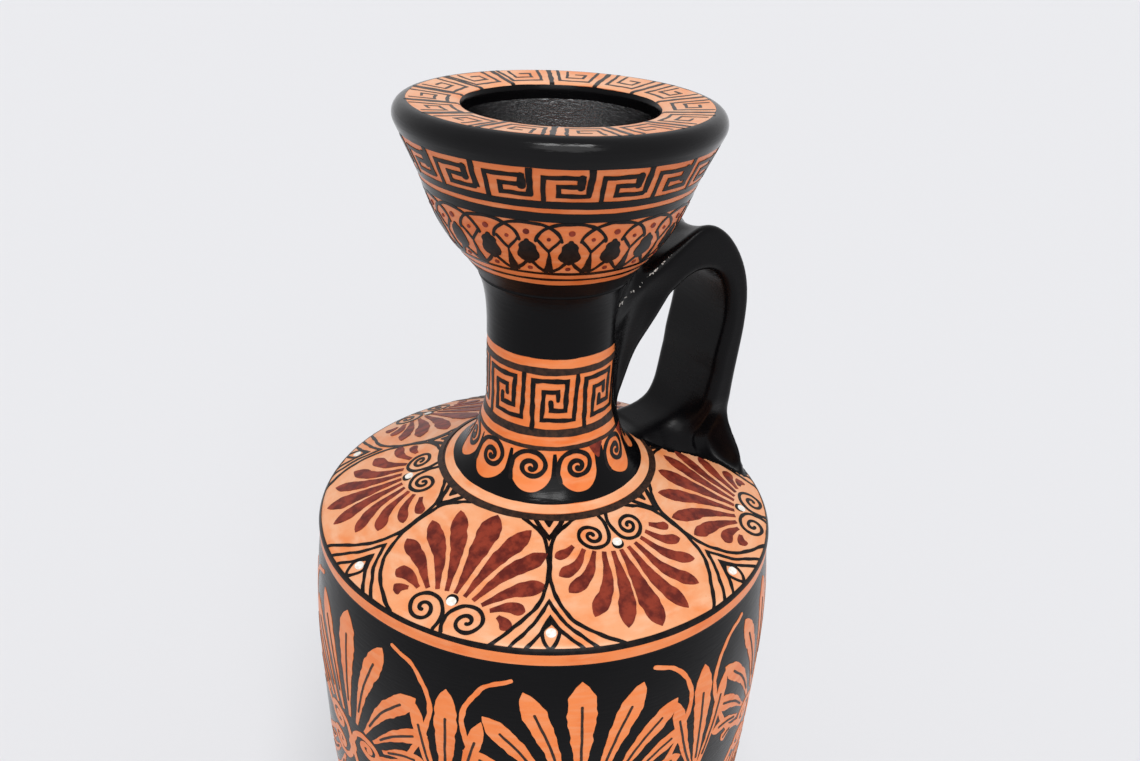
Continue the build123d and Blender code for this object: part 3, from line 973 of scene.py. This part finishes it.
def strap_distance(x, y, z):
    """Distances on a grid to the strap, its outline and its edges, and how much fuller its hollows are."""
    shape = settings().handle
    plane = np.stack(np.meshgrid(x, z, indexing="ij"), axis=-1).reshape(-1, 2)
    polygon, outer_face = strap_outline()
    side = polygon_distance(plane, polygon)
    to_face = line_distance(plane, outer_face)
    to_face = np.where((side > 0) & (to_face < side + 1e-6), to_face, -to_face)
    side, to_face = (distance.reshape(len(x), 1, len(z)) for distance in (side, to_face))
    # A thumb drawn along the wet strap leaves a groove down the middle of its outer face
    groove = GROOVE_DEPTH * np.maximum(1 - (y / GROOVE_HALF_WIDTH) ** 2, 0)[:, None] * rise(z, 205, 30)
    side = np.maximum(side, to_face + groove * rise(x[:, None, None], 19, 11))
    # Half the width: narrower on the arm, in the tail and at the near toe, and spread out at the heel
    out = x[:, None]
    near_neck = rise(out, 30, -12)
    in_tail = rise(z, 238, -16) * rise(out, 24, -6)
    at_foot = rise(z, 210, -13)
    at_heel = rise(out, 42, 5)
    half = shape.half_width / MM - ARM_NARROWER * near_neck * rise(z, 246, -8) - TAIL_NARROWER * in_tail
    heel = HEEL_WIDER * rise(z, 207, -14) * at_heel
    toes = (np.interp(x, *NEAR_TOE)[:, None], FAR_TOE)
    near, far = (half + (toe - half) * at_foot * (1 - at_heel) + heel for toe in toes)
    far = far + FAR_EDGE_FULLER * rise(z, 256, -30) * rise(z, 196, 20) * rise(out, 30, 8)
    nearer = y[:, None] < 0
    beside = np.abs(y)[:, None] - np.where(nearer, near[:, None, :], far[:, None, :])
    # The toe is rubbed down on its near side until it runs into the shoulder without a corner
    at_toe = at_foot * (1 - at_heel)
    falls = at_toe * rise(out, 42, -9)
    side = side + TOE_FALL * np.minimum(y, 0)[:, None] ** 2 * falls[:, None, :]
    edge_round = shape.edge_round / MM + np.where(nearer, TOE_EDGE_ROUNDER * at_toe[:, None, :], 0)
    side, beside = side + edge_round, beside + edge_round
    strap = np.hypot(np.maximum(side, 0), np.maximum(beside, 0)) - edge_round
    strap = strap + np.minimum(np.maximum(side, beside), 0) - SKIN_LIFT
    # More slip in the hollows under the root and at the toe, less in the tail, at the heel and under the cup
    fuller = 1.6 * near_neck * rise(z, 232, 8) - 1.6 * in_tail + at_foot * (0.8 - 1.7 * at_heel)
    fuller = fuller - 3.6 * rise(z, 246, 3) * rise(out, 30, -4)
    return strap, side, beside, fuller[:, None, :]


def vessel_distance(x, y, z):
    """Distances on a grid to the outside of the neck, the cup and the shoulder."""
    radius, level = np.broadcast_arrays(np.hypot(x[:, None], y)[:, :, None], z)
    wall = mouth_run.along < mouth_run.at_radius(mouth_run.radius.max() - 0.1)
    heights = np.concatenate([neck_run.height, mouth_run.height[wall]])
    radii = np.concatenate([neck_run.radius, mouth_run.radius[wall]])
    neck = (radius - np.interp(level, heights, radii)) * NECK_SLOPE
    neck = np.where(level < heights[0], neck + heights[0] - level, neck)
    cone = shoulder_run.radius > shoulder_run.radius.min()
    crest = np.interp(radius, shoulder_run.radius[cone][::-1], shoulder_run.height[cone][::-1])
    return np.minimum(neck, (level - crest) * SHOULDER_SLOPE)


def edge_wear(points, side, beside):
    """How worn the skin's points are: only along the strap's edges, above the root and near the neck."""
    on_edge = np.clip(1.3 - np.abs(side - beside) / 0.7, 0, 1) * (np.minimum(side, beside) > -0.3)
    above = points[:, 2] - 238.5 - 0.72 * (points[:, 0] - 16)
    return on_edge * rise(above, 0, 2) * rise(points[:, 0], 31, -10)


class LEKYTHOS_OT_handle(bpy.types.Operator):
    """Build the strap handle's skin, which runs into the neck and the shoulder in smooth hollows of slip"""

    bl_idname = "lekythos.handle"
    bl_label = "Handle"

    def execute(self, context):
        shape = settings().handle
        step, hollow = shape.grid / MM, shape.hollow / MM
        low, high = (np.array(corner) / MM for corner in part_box("handle"))
        margin = hollow + GRID_MARGIN
        x, y, z = (np.arange(a - margin, b + margin, step) for a, b in zip(low, high))
        strap, side, beside, fuller = strap_distance(x, y, z)
        vessel = vessel_distance(x, y, z)
        hollow = hollow + fuller
        inner, outer = np.maximum(hollow - strap, 0), np.maximum(hollow - vessel, 0)
        field = np.maximum(hollow, np.minimum(strap, vessel)) - np.hypot(inner, outer)
        origin = np.array([x[0], y[0], z[0]])
        points, quads = surface_net(field, origin, step)
        # Only the skin near the strap is kept, since the vessel's own nodes show the rest
        spot = np.rint((points - origin) / step).astype(int)
        keep = (strap - hollow)[tuple(spot.T)] < 2 * step
        used, quads = np.unique(quads[keep[quads].all(axis=1)], return_inverse=True)
        points, spot = points[used], tuple(spot[used].T)
        mesh = bpy.data.meshes.new("handle_skin")
        mesh.from_pydata((points * MM).tolist(), [], quads.reshape(-1, 4).tolist())
        mesh.shade_smooth()
        wear = edge_wear(points, side[spot], beside[spot]).astype(np.float32)
        mesh.attributes.new("edge_wear", "FLOAT", "POINT").data.foreach_set("value", wear)
        chips = settings().colours.chip
        mesh.materials.append(black_slip("black_slip_worn_at_edges", rough=(0.2, 0.34), chips=chips))
        piece = bpy.data.objects.new("handle_skin", mesh)
        context.scene.collection.objects.link(piece)
        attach(piece, "root")
        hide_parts("handle", "handle_root_luting", "handle_foot_luting")
        return {"FINISHED"}


class LEKYTHOS_OT_mouth_coats(bpy.types.Operator):
    """Lay the coats of slip on the lip, round the cup and inside the funnel"""

    bl_idname = "lekythos.mouth_coats"
    bl_label = "Mouth Coats"

    def execute(self, context):
        layers = settings().layers
        at = mouth_run.at_height
        lip_outer, lip_inner = lip_edges()
        lines = [(at(low), at(high)) for low, high in CUP_LINES]
        rim = (at(CUP_KEY_BAND[1]), lip_outer)
        polished = black_slip("black_slip_polished", rough=(0.12, 0.2), shine=0.17)
        coat("cup_black_bands", mouth_run, layers.coat, 11, polished, BLACK, *lines, rim)
        dull = black_slip("black_slip_dull", rough=(0.32, 0.44))
        coat("cup_black_foot", mouth_run, layers.coat, 15, dull, BLACK, (0.0, at(CUP_BLACK_TOP)))
        flat = (lip_outer + 0.05, lip_inner - 0.05)
        # The lip's paler wash is painted sheen of the light from above
        coat("lip_orange_wash", mouth_run, layers.coat, 12, wash_with_painted_sheen(), ORANGE, flat)
        throat = (lip_inner, at(FUNNEL_TOP_FOOT, lip_inner))
        coat("funnel_black_top", mouth_run, layers.line, 13, black_slip(), BLACK, throat)
        turned = black_slip("black_slip_on_turning_marks", 0.4, 0.6, (0.14, 0.24), 1.0, 3, ior=2.2)
        funnel = (lip_inner + 0.3, mouth_run.along[-1])
        coat("funnel_black", mouth_run, layers.coat, 14, turned, BLACK, funnel)
        return {"FINISHED"}


class LEKYTHOS_OT_lip_meander(bpy.types.Operator):
    """Paint the meander on the flat of the lip"""

    bl_idname = "lekythos.lip_meander"
    bl_label = "Lip Meander"

    def execute(self, context):
        ornament = settings().ornament
        lip_outer, lip_inner = lip_edges()
        slip = Slip(mouth_run, settings().layers.line, 21)
        bracket = [(0.19, 0.04), (0.21, 0.77), (0.84, 0.77), (0.87, 0.0)]
        hook = [(0.7, 0.08), (0.69, 0.54), (0.37, 0.54), (0.37, 0.28), (0.54, 0.28)]
        turn = 360 / ornament.lip_keys
        fine = 0.8 * ornament.line / MM
        for k in range(ornament.lip_keys):
            drift = LIP_KEYS_DRIFT * (1 - math.cos(math.radians(k * turn)))
            start = LIP_KEYS_START + k * turn + drift + slip.hand.normal(0, 0.4)
            on = partial(in_box, start=start, turn=turn, low=lip_outer, high=lip_inner)
            slip.stroke(on([(0, 0), (0, 1)]), 1.35 * fine, round_ends=False)
            slip.stroke(on(bracket), 0.9 * fine)
            slip.stroke(on(hook), 0.78 * fine)
        slip.make("lip_meander", black_line(), BLACK)
        return {"FINISHED"}


class LEKYTHOS_OT_cup_meander(bpy.types.Operator):
    """Paint the meander round the top of the cup"""

    bl_idname = "lekythos.cup_meander"
    bl_label = "Cup Meander"

    def execute(self, context):
        ornament = settings().ornament
        low, high = (mouth_run.at_height(edge) for edge in CUP_KEY_BAND)
        slip = Slip(mouth_run, settings().layers.line, 31)
        turn = 360 / ornament.cup_keys
        fine = ornament.fine_line / MM
        key = [(0.226, 0), (0.226, 0.75), (0.87, 0.75), (0.87, 0.48), (0.475, 0.48), (0.475, 0.2), (1, 0.2)]
        for k in range(ornament.cup_keys):
            start = CUP_KEYS_START + k * turn + slip.hand.normal(0, 0.25)
            on = partial(in_box, start=start, turn=turn, low=low, high=high)
            slip.stroke(on(key), fine, steady=0.7)
            slip.stroke(on([(0.85, 0.46), (0.85, 0.75)]), 1.7 * fine)
            slip.stroke(on([(0, 0.2), (0, 1)]), 1.35 * fine, round_ends=False)
        slip.make("cup_meander", black_line(), BLACK)
        return {"FINISHED"}


class LEKYTHOS_OT_lotus_chain(bpy.types.Operator):
    """Paint the chain of lotus buds round the cup"""

    bl_idname = "lekythos.lotus_chain"
    bl_label = "Lotus Chain"

    def execute(self, context):
        ornament = settings().ornament
        low, high = (mouth_run.at_height(edge) for edge in LOTUS_BAND)
        lines = Slip(mouth_run, settings().layers.line, 41)
        dots = Slip(mouth_run, settings().layers.over, 42)
        turn = 360 / ornament.lotus_buds
        half = turn / 2
        fine = ornament.fine_line / MM
        sweep = np.radians(np.linspace(-86, 86, 25))
        arch = [(0.8 * turn * math.sin(a), 0.63 + 0.33 * math.cos(a)) for a in sweep]
        # A bud's middle line, in shares of the band's height, and its widths in millimetres
        bud = [(0, share) for share in (0.23, 0.28, 0.34, 0.43, 0.51, 0.56, 0.61, 0.64)]
        bud_widths = (0.9, 3.0, 3.9, 3.9, 3.2, 3.1, 2.2, 1.0)
        for k in range(ornament.lotus_buds):
            centre = LOTUS_START + k * turn + lines.hand.normal(0, 0.4)
            on = partial(in_box, start=centre, turn=1, low=low, high=high)
            lines.stroke(on(arch), 0.72 * fine)
            lines.stroke(on(bud), bud_widths, 4, True, 0.6)
            lines.stroke(on([(half - 4.6, 0.67), (half, 0.47), (half + 4.6, 0.67)]), 0.65 * fine)
            for side in (-1, 1):
                foot = curve([(0, 0.3), (side * 4, 0.13), (side * 0.87 * half, 0.02)], 10)
                lines.stroke(on(foot), 0.8 * fine)
            lines.stroke(on([(half, 0.46), (half, 0.25), (half, 0.02)]), [0.3, 1.0, 2.2], 3, False)
            for place, size in (((0, 0.8), 1.1), ((0, 0.1), 0.9), ((half, 0.69), 0.7)):
                dots.dot(*on([place])[0], size)
        lines.make("lotus_chain", black_line(), BLACK)
        dots.make("lotus_red_dots", red_slip(), ORANGE)
        return {"FINISHED"}


class LEKYTHOS_OT_neck_bands(bpy.types.Operator):
    """Lay the coats and the bands of slip round the neck"""

    bl_idname = "lekythos.neck_bands"
    bl_label = "Neck Bands"

    def execute(self, context):
        layers = settings().layers
        at = neck_run.at_height
        top = (at(NECK_BLACK_FOOT), neck_run.along[-1])
        coat("neck_black_top", neck_run, layers.coat, 51, black_slip(), BLACK, top)
        bands = [(at(low), at(high)) for low, high in NECK_BROWN_BANDS]
        coat("neck_brown_bands", neck_run, layers.coat, 52, brown_slip(), BLACK, *bands)
        root = (*(at(edge) for edge in NECK_BLACK_ROUND_HANDLE), -HANDLE_BLACK, HANDLE_BLACK)
        coat("neck_black_round_handle", neck_run, layers.over, 53, black_slip(), BLACK, root)
        collar = (0.05, neck_run.at_radius(COLLAR_EDGE))
        # The collar's paler wash is painted sheen of the light from above
        coat("collar_orange_wash", neck_run, layers.coat, 54, wash_with_painted_sheen(), ORANGE, collar)
        return {"FINISHED"}


class LEKYTHOS_OT_neck_keys(bpy.types.Operator):
    """Paint the panel of square keys round the neck"""

    bl_idname = "lekythos.neck_keys"
    bl_label = "Neck Keys"

    def execute(self, context):
        fine = settings().ornament.line / MM
        low, high = (neck_run.at_height(edge) for edge in NECK_KEY_PANEL)
        slip = Slip(neck_run, settings().layers.line, 61)
        outer = [(0, 0), (0, 1), (0.78, 1), (0.75, 0.39), (0.42, 0.39), (0.42, 0.565)]
        inner = [(1.02, 1.1), (0.97, 0.18), (0.225, 0.18), (0.25, 0.775), (0.57, 0.79), (0.57, 0.6)]
        for start, turn in NECK_KEYS:
            for path, width in ((outer, 1.08 * fine), (inner, 0.98 * fine)):
                slip.stroke(in_box(path, start, turn, low, high), width)
        slip.make("neck_keys", black_line(), BLACK)
        return {"FINISHED"}


class LEKYTHOS_OT_neck_eggs(bpy.types.Operator):
    """Paint the row of eggs with their spirals at the foot of the neck"""

    bl_idname = "lekythos.neck_eggs"
    bl_label = "Neck Eggs"

    def execute(self, context):
        layers = settings().layers
        fine = settings().ornament.line / MM
        ground = Slip(neck_run, layers.coat, 71)
        coils = Slip(neck_run, layers.line, 72)
        darts = Slip(neck_run, layers.line, 73)

        def scallop(angle):
            off = min(abs((angle - egg + 180) % 360 - 180) for egg in EGG_ANGLES)
            gap = rise(off, 14.6, 1.6)
            sag = EGG_DEPTH * math.sqrt(1 - min(off / EGG_HALF_TURN, 1) ** 2)
            return neck_run.at_height(EGG_WAIST - sag + 3.0 * gap)

        ground.band(neck_run.at_radius(COLLAR_EDGE), scallop, fine=3)
        ground.make("egg_ground", black_slip(), BLACK)
        for egg in EGG_ANGLES:
            sketch = Sketch(neck_run, egg, neck_run.at_height(EGG_SPIRALS))
            tilt = coils.hand.uniform(-6, 6)
            coil = spiral((0, 0), 4.2, 3.7, 178 + tilt, -1.85, 0.06)
            coil[:, 1] -= 0.5 * np.linspace(0, 1, len(coil))
            coil = np.vstack([curve([(-4.3, -3.4), (-4.5, -1.6), coil[0]], 8)[:-1], coil])
            coils.stroke(sketch.on(coil), np.linspace(1.0, 1.15, len(coil)) * fine, steady=0.8)
        coils.make("egg_spirals", black_line(), BLACK)
        for angle in DART_ANGLES:
            sketch = Sketch(neck_run, angle, neck_run.at_height(NECK_BLACK_ROUND_HANDLE[0]))
            darts.stroke(sketch.on([(0, 0), (0.1, -1.6), (0.3, -3.2)]), [3.4, 2.2, 0.4], 4, False)
        darts.make("egg_red_darts", red_slip(), ORANGE)
        return {"FINISHED"}


class LEKYTHOS_OT_shoulder_palmettes(bpy.types.Operator):
    """Paint the palmettes that stand and hang in turn on the shoulder"""

    bl_idname = "lekythos.shoulder_palmettes"
    bl_label = "Shoulder Palmettes"

    def execute(self, context):
        layers = settings().layers
        fine = settings().ornament.line / MM
        at = shoulder_run.at_radius
        leaves = Slip(shoulder_run, layers.line, 81)
        coils = Slip(shoulder_run, layers.line, 82)
        dots = Slip(shoulder_run, layers.top, 83)
        for k, (first, last) in enumerate(zip(FRAME_ANGLES, FRAME_ANGLES[1:])):
            middle = (first + last) / 2 + PALMETTE_SHIFTS[k]
            hangs = k % 2
            radius, up = (HANGING_HEART, -1.0) if hangs else (STANDING_HEART, 1.0)
            sketch = Sketch(shoulder_run, middle, at(radius), up)
            palmette(leaves, sketch, HANGING_FAN if hangs else STANDING_FAN)
            volutes(coils, sketch, HANGING_COILS if hangs else STANDING_COILS, 0.85 * fine)
            heart(sketch, coils, dots)
        leaves.make("shoulder_leaves", red_slip(), ORANGE)
        coils.make("shoulder_volutes", black_line(), BLACK)
        dots.make("shoulder_white_hearts", white_slip(), ORANGE)
        return {"FINISHED"}


class LEKYTHOS_OT_shoulder_frames(bpy.types.Operator):
    """Paint the lines that frame the palmettes, the border and the black round the handle's foot"""

    bl_idname = "lekythos.shoulder_frames"
    bl_label = "Shoulder Frames"

    def execute(self, context):
        layers = settings().layers
        fine = settings().ornament.line / MM
        at = shoulder_run.at_radius
        lines = Slip(shoulder_run, layers.line, 91)
        dots = Slip(shoulder_run, layers.top, 92)
        # All points here are degrees from a frame's middle and radii in millimetres
        stem = [(12.6, 24.7), (6.6, 26.4), (2.0, 28.8), (0.5, 32.2), (0.5, 38.1)]
        for middle in FRAME_ANGLES:

            def on(points, side=1):
                return [(middle + side * x, at(r)) for x, r in points]

            for side, end in ((-1, (12.8, 51.6)), (1, (16.5, 51.5))):
                flare = curve(on([*stem, (3.2, 43.3), (7.9, 47.5), end], side), 60)
                lines.stroke(flare, 0.85 * fine)
            lines.stroke(on([(-8.5, 51.5), (-3.8, 46.9), (0, 42.3), (4, 46.9), (10.5, 51.5)]), 0.78 * fine)
            lines.stroke(on([(-5.0, 51.5), (-2, 48.6), (0.3, 45.4), (2.8, 48.2), (7.4, 51.5)]), 0.78 * fine)
            drop = curve(on([(0.4, 46.4), (-1.7, 48.6), (0.2, 51.4), (2.4, 48.6), (0.5, 46.4)]), 18)
            lines.stroke(drop, 0.75 * fine)
            if FRAME_ANGLES[0] > middle > FRAME_ANGLES[-1]:
                dots.dot(middle + 0.4, at(48.5), 1.9)
            lines.stroke(on([(-6.2, 24.9), (0, 29.0), (6.2, 24.9)]), fine)
            lines.stroke(on([(0, 24.6), (0, 26.4)]), [2.6, 0.4], 3, False)
        lines.band(shoulder_run.at_height(SHOULDER_LINE_FOOT), at(SHOULDER_LINE))
        lines.make("shoulder_frames", black_line(), BLACK)
        dots.make("shoulder_white_drops", white_slip(), ORANGE)
        ring = (at(SHOULDER_RING), shoulder_run.along[-1])
        coat("shoulder_brown_ring", shoulder_run, layers.over, 95, brown_slip(), BLACK, ring)
        stripe = (0.0, shoulder_run.at_height(SHOULDER_STRIPE_TOP))
        coat("shoulder_orange_stripe", shoulder_run, layers.coat, 93, orange_wash(), ORANGE, stripe)
        patch = Slip(shoulder_run, layers.top, 94)
        reach = [(0, at(r)) for r in (24.3, 26.6, 35.0, 44.0, 48.0, 51.3)]
        patch.stroke(reach, [13.8, 14.8, 17.2, 19.4, 22.8, 28.2], 40, False, 0.8)
        patch.make("shoulder_black_round_handle", black_slip(), BLACK)
        return {"FINISHED"}


class LEKYTHOS_OT_body_frieze(bpy.types.Operator):
    """Paint the body's frieze of double palmettes, tendrils and lotus buds, and the lines below it"""

    bl_idname = "lekythos.body_frieze"
    bl_label = "Body Frieze"

    def execute(self, context):
        layers = settings().layers
        ornament = settings().ornament
        at = body_run.at_height
        reserved = Slip(body_run, layers.coat, 101)
        ribs = Slip(body_run, layers.over, 102)
        turn = 360 / ornament.frieze_palmettes
        bold = ornament.bold_line / MM
        for k in range(ornament.frieze_palmettes):
            middle = FRIEZE_START + k * turn
            upper = Sketch(body_run, middle, at(FRIEZE_UPPER_HEARTS), 1.0)
            lower = Sketch(body_run, middle, at(FRIEZE_LOWER_HEARTS), -1.0)
            palmette(reserved, upper, FRIEZE_UPPER_FAN, ribs)
            palmette(reserved, lower, FRIEZE_LOWER_FAN, ribs)
            for sketch in (upper, lower):
                volutes(reserved, sketch, FRIEZE_COILS, bold)
            for side in (-1, 1):
                for sketch, points in (
                    (upper, [(10.5, -3), (17, 1), (22, 10), (24.5, 20), (20.5, 28), (14.5, 31)]),
                    (lower, [(11, -3), (16.5, 2), (20, 11), (18.5, 21), (11, 27)]),
                ):
                    tendril = sketch.on(curve(points, 40) * (side, 1))
                    reserved.stroke(tendril, np.linspace(bold, 0.6 * bold, len(tendril)))
            bud = Sketch(body_run, middle + turn / 2, at(FRIEZE_BUDS), 1.0)
            for side, tip, wide in ((0, (0, 33), 5.0), (-1, (-7.5, 27), 3.2), (1, (7.5, 27), 3.2)):
                petal = bud.on(curve([(side * 1.2, 4), (side * 4.5, 14), tip], 24))
                leaf(reserved, petal, wide, 1.4)
                ribs.stroke(petal[3:-6], RIB_WIDTH, 1, steady=0.5)
            for side in (-1, 1):
                stalk = curve([(0, 4), (side * 0.6, -6), (side * 5, -13), (side * 12, -11)], 24)
                reserved.stroke(bud.on(stalk), bold)
        for low, high in FRIEZE_LINES:
            reserved.band(at(low), at(high))
        reserved.make("body_frieze", orange_wash(), ORANGE)
        ribs.make("body_frieze_ribs", brown_slip(), BLACK)
        return {"FINISHED"}


class LEKYTHOS_OT_foot_line(bpy.types.Operator):
    """Paint the reserved line round the foot's edge"""

    bl_idname = "lekythos.foot_line"
    bl_label = "Foot Line"

    def execute(self, context):
        line = tuple(foot_run.at_height(edge) for edge in FOOT_LINE)
        coat("foot_line", foot_run, settings().layers.coat, 111, orange_wash(), ORANGE, line)
        return {"FINISHED"}


class LEKYTHOS_OT_stage(bpy.types.Operator):
    """Set the floor, the soft light and the camera"""

    bl_idname = "lekythos.stage"
    bl_label = "Stage"

    def execute(self, context):
        scene = context.scene
        stage = settings().stage
        reach = stage.floor_reach
        mesh = bpy.data.meshes.new("floor")
        corners = [(-reach, -reach, 0), (reach, -reach, 0), (reach, reach, 0), (-reach, reach, 0)]
        mesh.from_pydata(corners, [], [(0, 1, 2, 3)])
        floor = bpy.data.objects.new("floor", mesh)
        scene.collection.objects.link(floor)
        material, tree = new_material("matt_paper_floor")
        # Matt paper has only a faint grain, which keeps the floor from looking like a flat card
        place = add(tree, "TexCoord").outputs["Object"]
        grain = add(tree, "TexNoise", {"Scale": per_mm(2), "Detail": 4.0}, {"Vector": place}).outputs["Fac"]
        bump = add(tree, "Bump", {"Strength": 0.05, "Distance": 0.5 * MM}, {"Height": grain})
        values = {"Base Color": linear(stage.floor_colour), "Roughness": 0.85}
        surface = add(tree, "BsdfPrincipled", values, {"Normal": bump.outputs[0]})
        add(tree, "OutputMaterial", links={"Surface": surface.outputs[0]})
        mesh.materials.append(material)

        # The camera and mirrored rays see the floor's colour all round; all else gets the room's soft light
        world = bpy.data.worlds.new("soft_room")
        world.use_nodes = True
        world.node_tree.nodes.clear()
        tree = world.node_tree
        light = {"Color": linear(stage.room_colour), "Strength": stage.room_strength}
        room = add(tree, "Background", light)
        backdrop = add(tree, "Background", {"Color": linear(stage.floor_colour), "Strength": 1.0})
        rays = add(tree, "LightPath").outputs
        seen = rays["Is Camera Ray"]
        for kind in ("Is Glossy Ray", "Is Transmission Ray"):
            seen = add(tree, "Math", links={0: seen, 1: rays[kind]}, operation="MAXIMUM").outputs[0]
        mixed = add(tree, "MixShader", links={0: seen, 1: room.outputs[0], 2: backdrop.outputs[0]})
        add(tree, "OutputWorld", links={"Surface": mixed.outputs[0]})
        scene.world = world

        for name, aside, lean, strength, width in (
            ("left_key", -stage.key_spread, stage.key_lean, stage.key_strength, stage.key_width),
            ("right_key", stage.key_spread, stage.key_lean, stage.key_strength, stage.key_width),
            ("front_fill", 0.0, stage.fill_lean, stage.fill_strength, stage.fill_width),
        ):
            light = bpy.data.lights.new(name, "SUN")
            light.energy = strength
            light.angle = width
            lamp = bpy.data.objects.new(name, light)
            scene.collection.objects.link(lamp)
            turn = Matrix.Rotation(stage.key_turn + aside, 4, "Z")
            lamp.matrix_world = turn @ Matrix.Rotation(lean, 4, "X")

        lens = bpy.data.cameras.new("camera")
        lens.sensor_fit = "HORIZONTAL"
        lens.sensor_width = 36.0
        lens.lens = stage.lens
        lens.clip_start = 0.01
        camera = bpy.data.objects.new("camera", lens)
        scene.collection.objects.link(camera)
        camera.matrix_world = (
            Matrix.Translation(stage.camera_place)
            @ Matrix.Rotation(stage.camera_turn, 4, "Z")
            @ Matrix.Rotation(math.pi / 2 - stage.camera_tilt, 4, "X")
            @ Matrix.Rotation(stage.camera_roll, 4, "Z")
        )
        scene.camera = camera
        scene.view_settings.view_transform = "Standard"
        return {"FINISHED"}


class LEKYTHOS_PT_panel(bpy.types.Panel):
    """Buttons that build the lekythos"""

    bl_idname = "LEKYTHOS_PT_panel"
    bl_label = "Painted Lekythos"
    bl_space_type = "VIEW_3D"
    bl_region_type = "UI"
    bl_category = "Lekythos"

    def draw(self, context):
        for operator in OPERATORS:
            self.layout.operator(operator.bl_idname)


OPERATORS = (
    LEKYTHOS_OT_clay,
    LEKYTHOS_OT_handle,
    LEKYTHOS_OT_mouth_coats,
    LEKYTHOS_OT_lip_meander,
    LEKYTHOS_OT_cup_meander,
    LEKYTHOS_OT_lotus_chain,
    LEKYTHOS_OT_neck_bands,
    LEKYTHOS_OT_neck_keys,
    LEKYTHOS_OT_neck_eggs,
    LEKYTHOS_OT_shoulder_palmettes,
    LEKYTHOS_OT_shoulder_frames,
    LEKYTHOS_OT_body_frieze,
    LEKYTHOS_OT_foot_line,
    LEKYTHOS_OT_stage,
)
GROUPS = (SlipColours, SlipLayers, HandleShape, Ornament, StageSetup, LekythosSettings)
CLASSES = (*GROUPS, *OPERATORS, LEKYTHOS_PT_panel)


def register():
    """Register the classes and the scene's settings."""
    for cls in CLASSES:
        bpy.utils.register_class(cls)
    bpy.types.Scene.lekythos = bpy.props.PointerProperty(
        type=LekythosSettings, name="Lekythos", description="Settings of the painted lekythos"
    )


def unregister():
    """Remove the scene's settings and the classes."""
    del bpy.types.Scene.lekythos
    for cls in reversed(CLASSES):
        bpy.utils.unregister_class(cls)


def main():
    """Build everything."""
    register()
    bpy.ops.lekythos.clay()
    bpy.ops.lekythos.handle()
    bpy.ops.lekythos.mouth_coats()
    bpy.ops.lekythos.lip_meander()
    bpy.ops.lekythos.cup_meander()
    bpy.ops.lekythos.lotus_chain()
    bpy.ops.lekythos.neck_bands()
    bpy.ops.lekythos.neck_keys()
    bpy.ops.lekythos.neck_eggs()
    bpy.ops.lekythos.shoulder_palmettes()
    bpy.ops.lekythos.shoulder_frames()
    bpy.ops.lekythos.body_frieze()
    bpy.ops.lekythos.foot_line()
    bpy.ops.lekythos.stage()


if __name__ == "__main__":
    main()
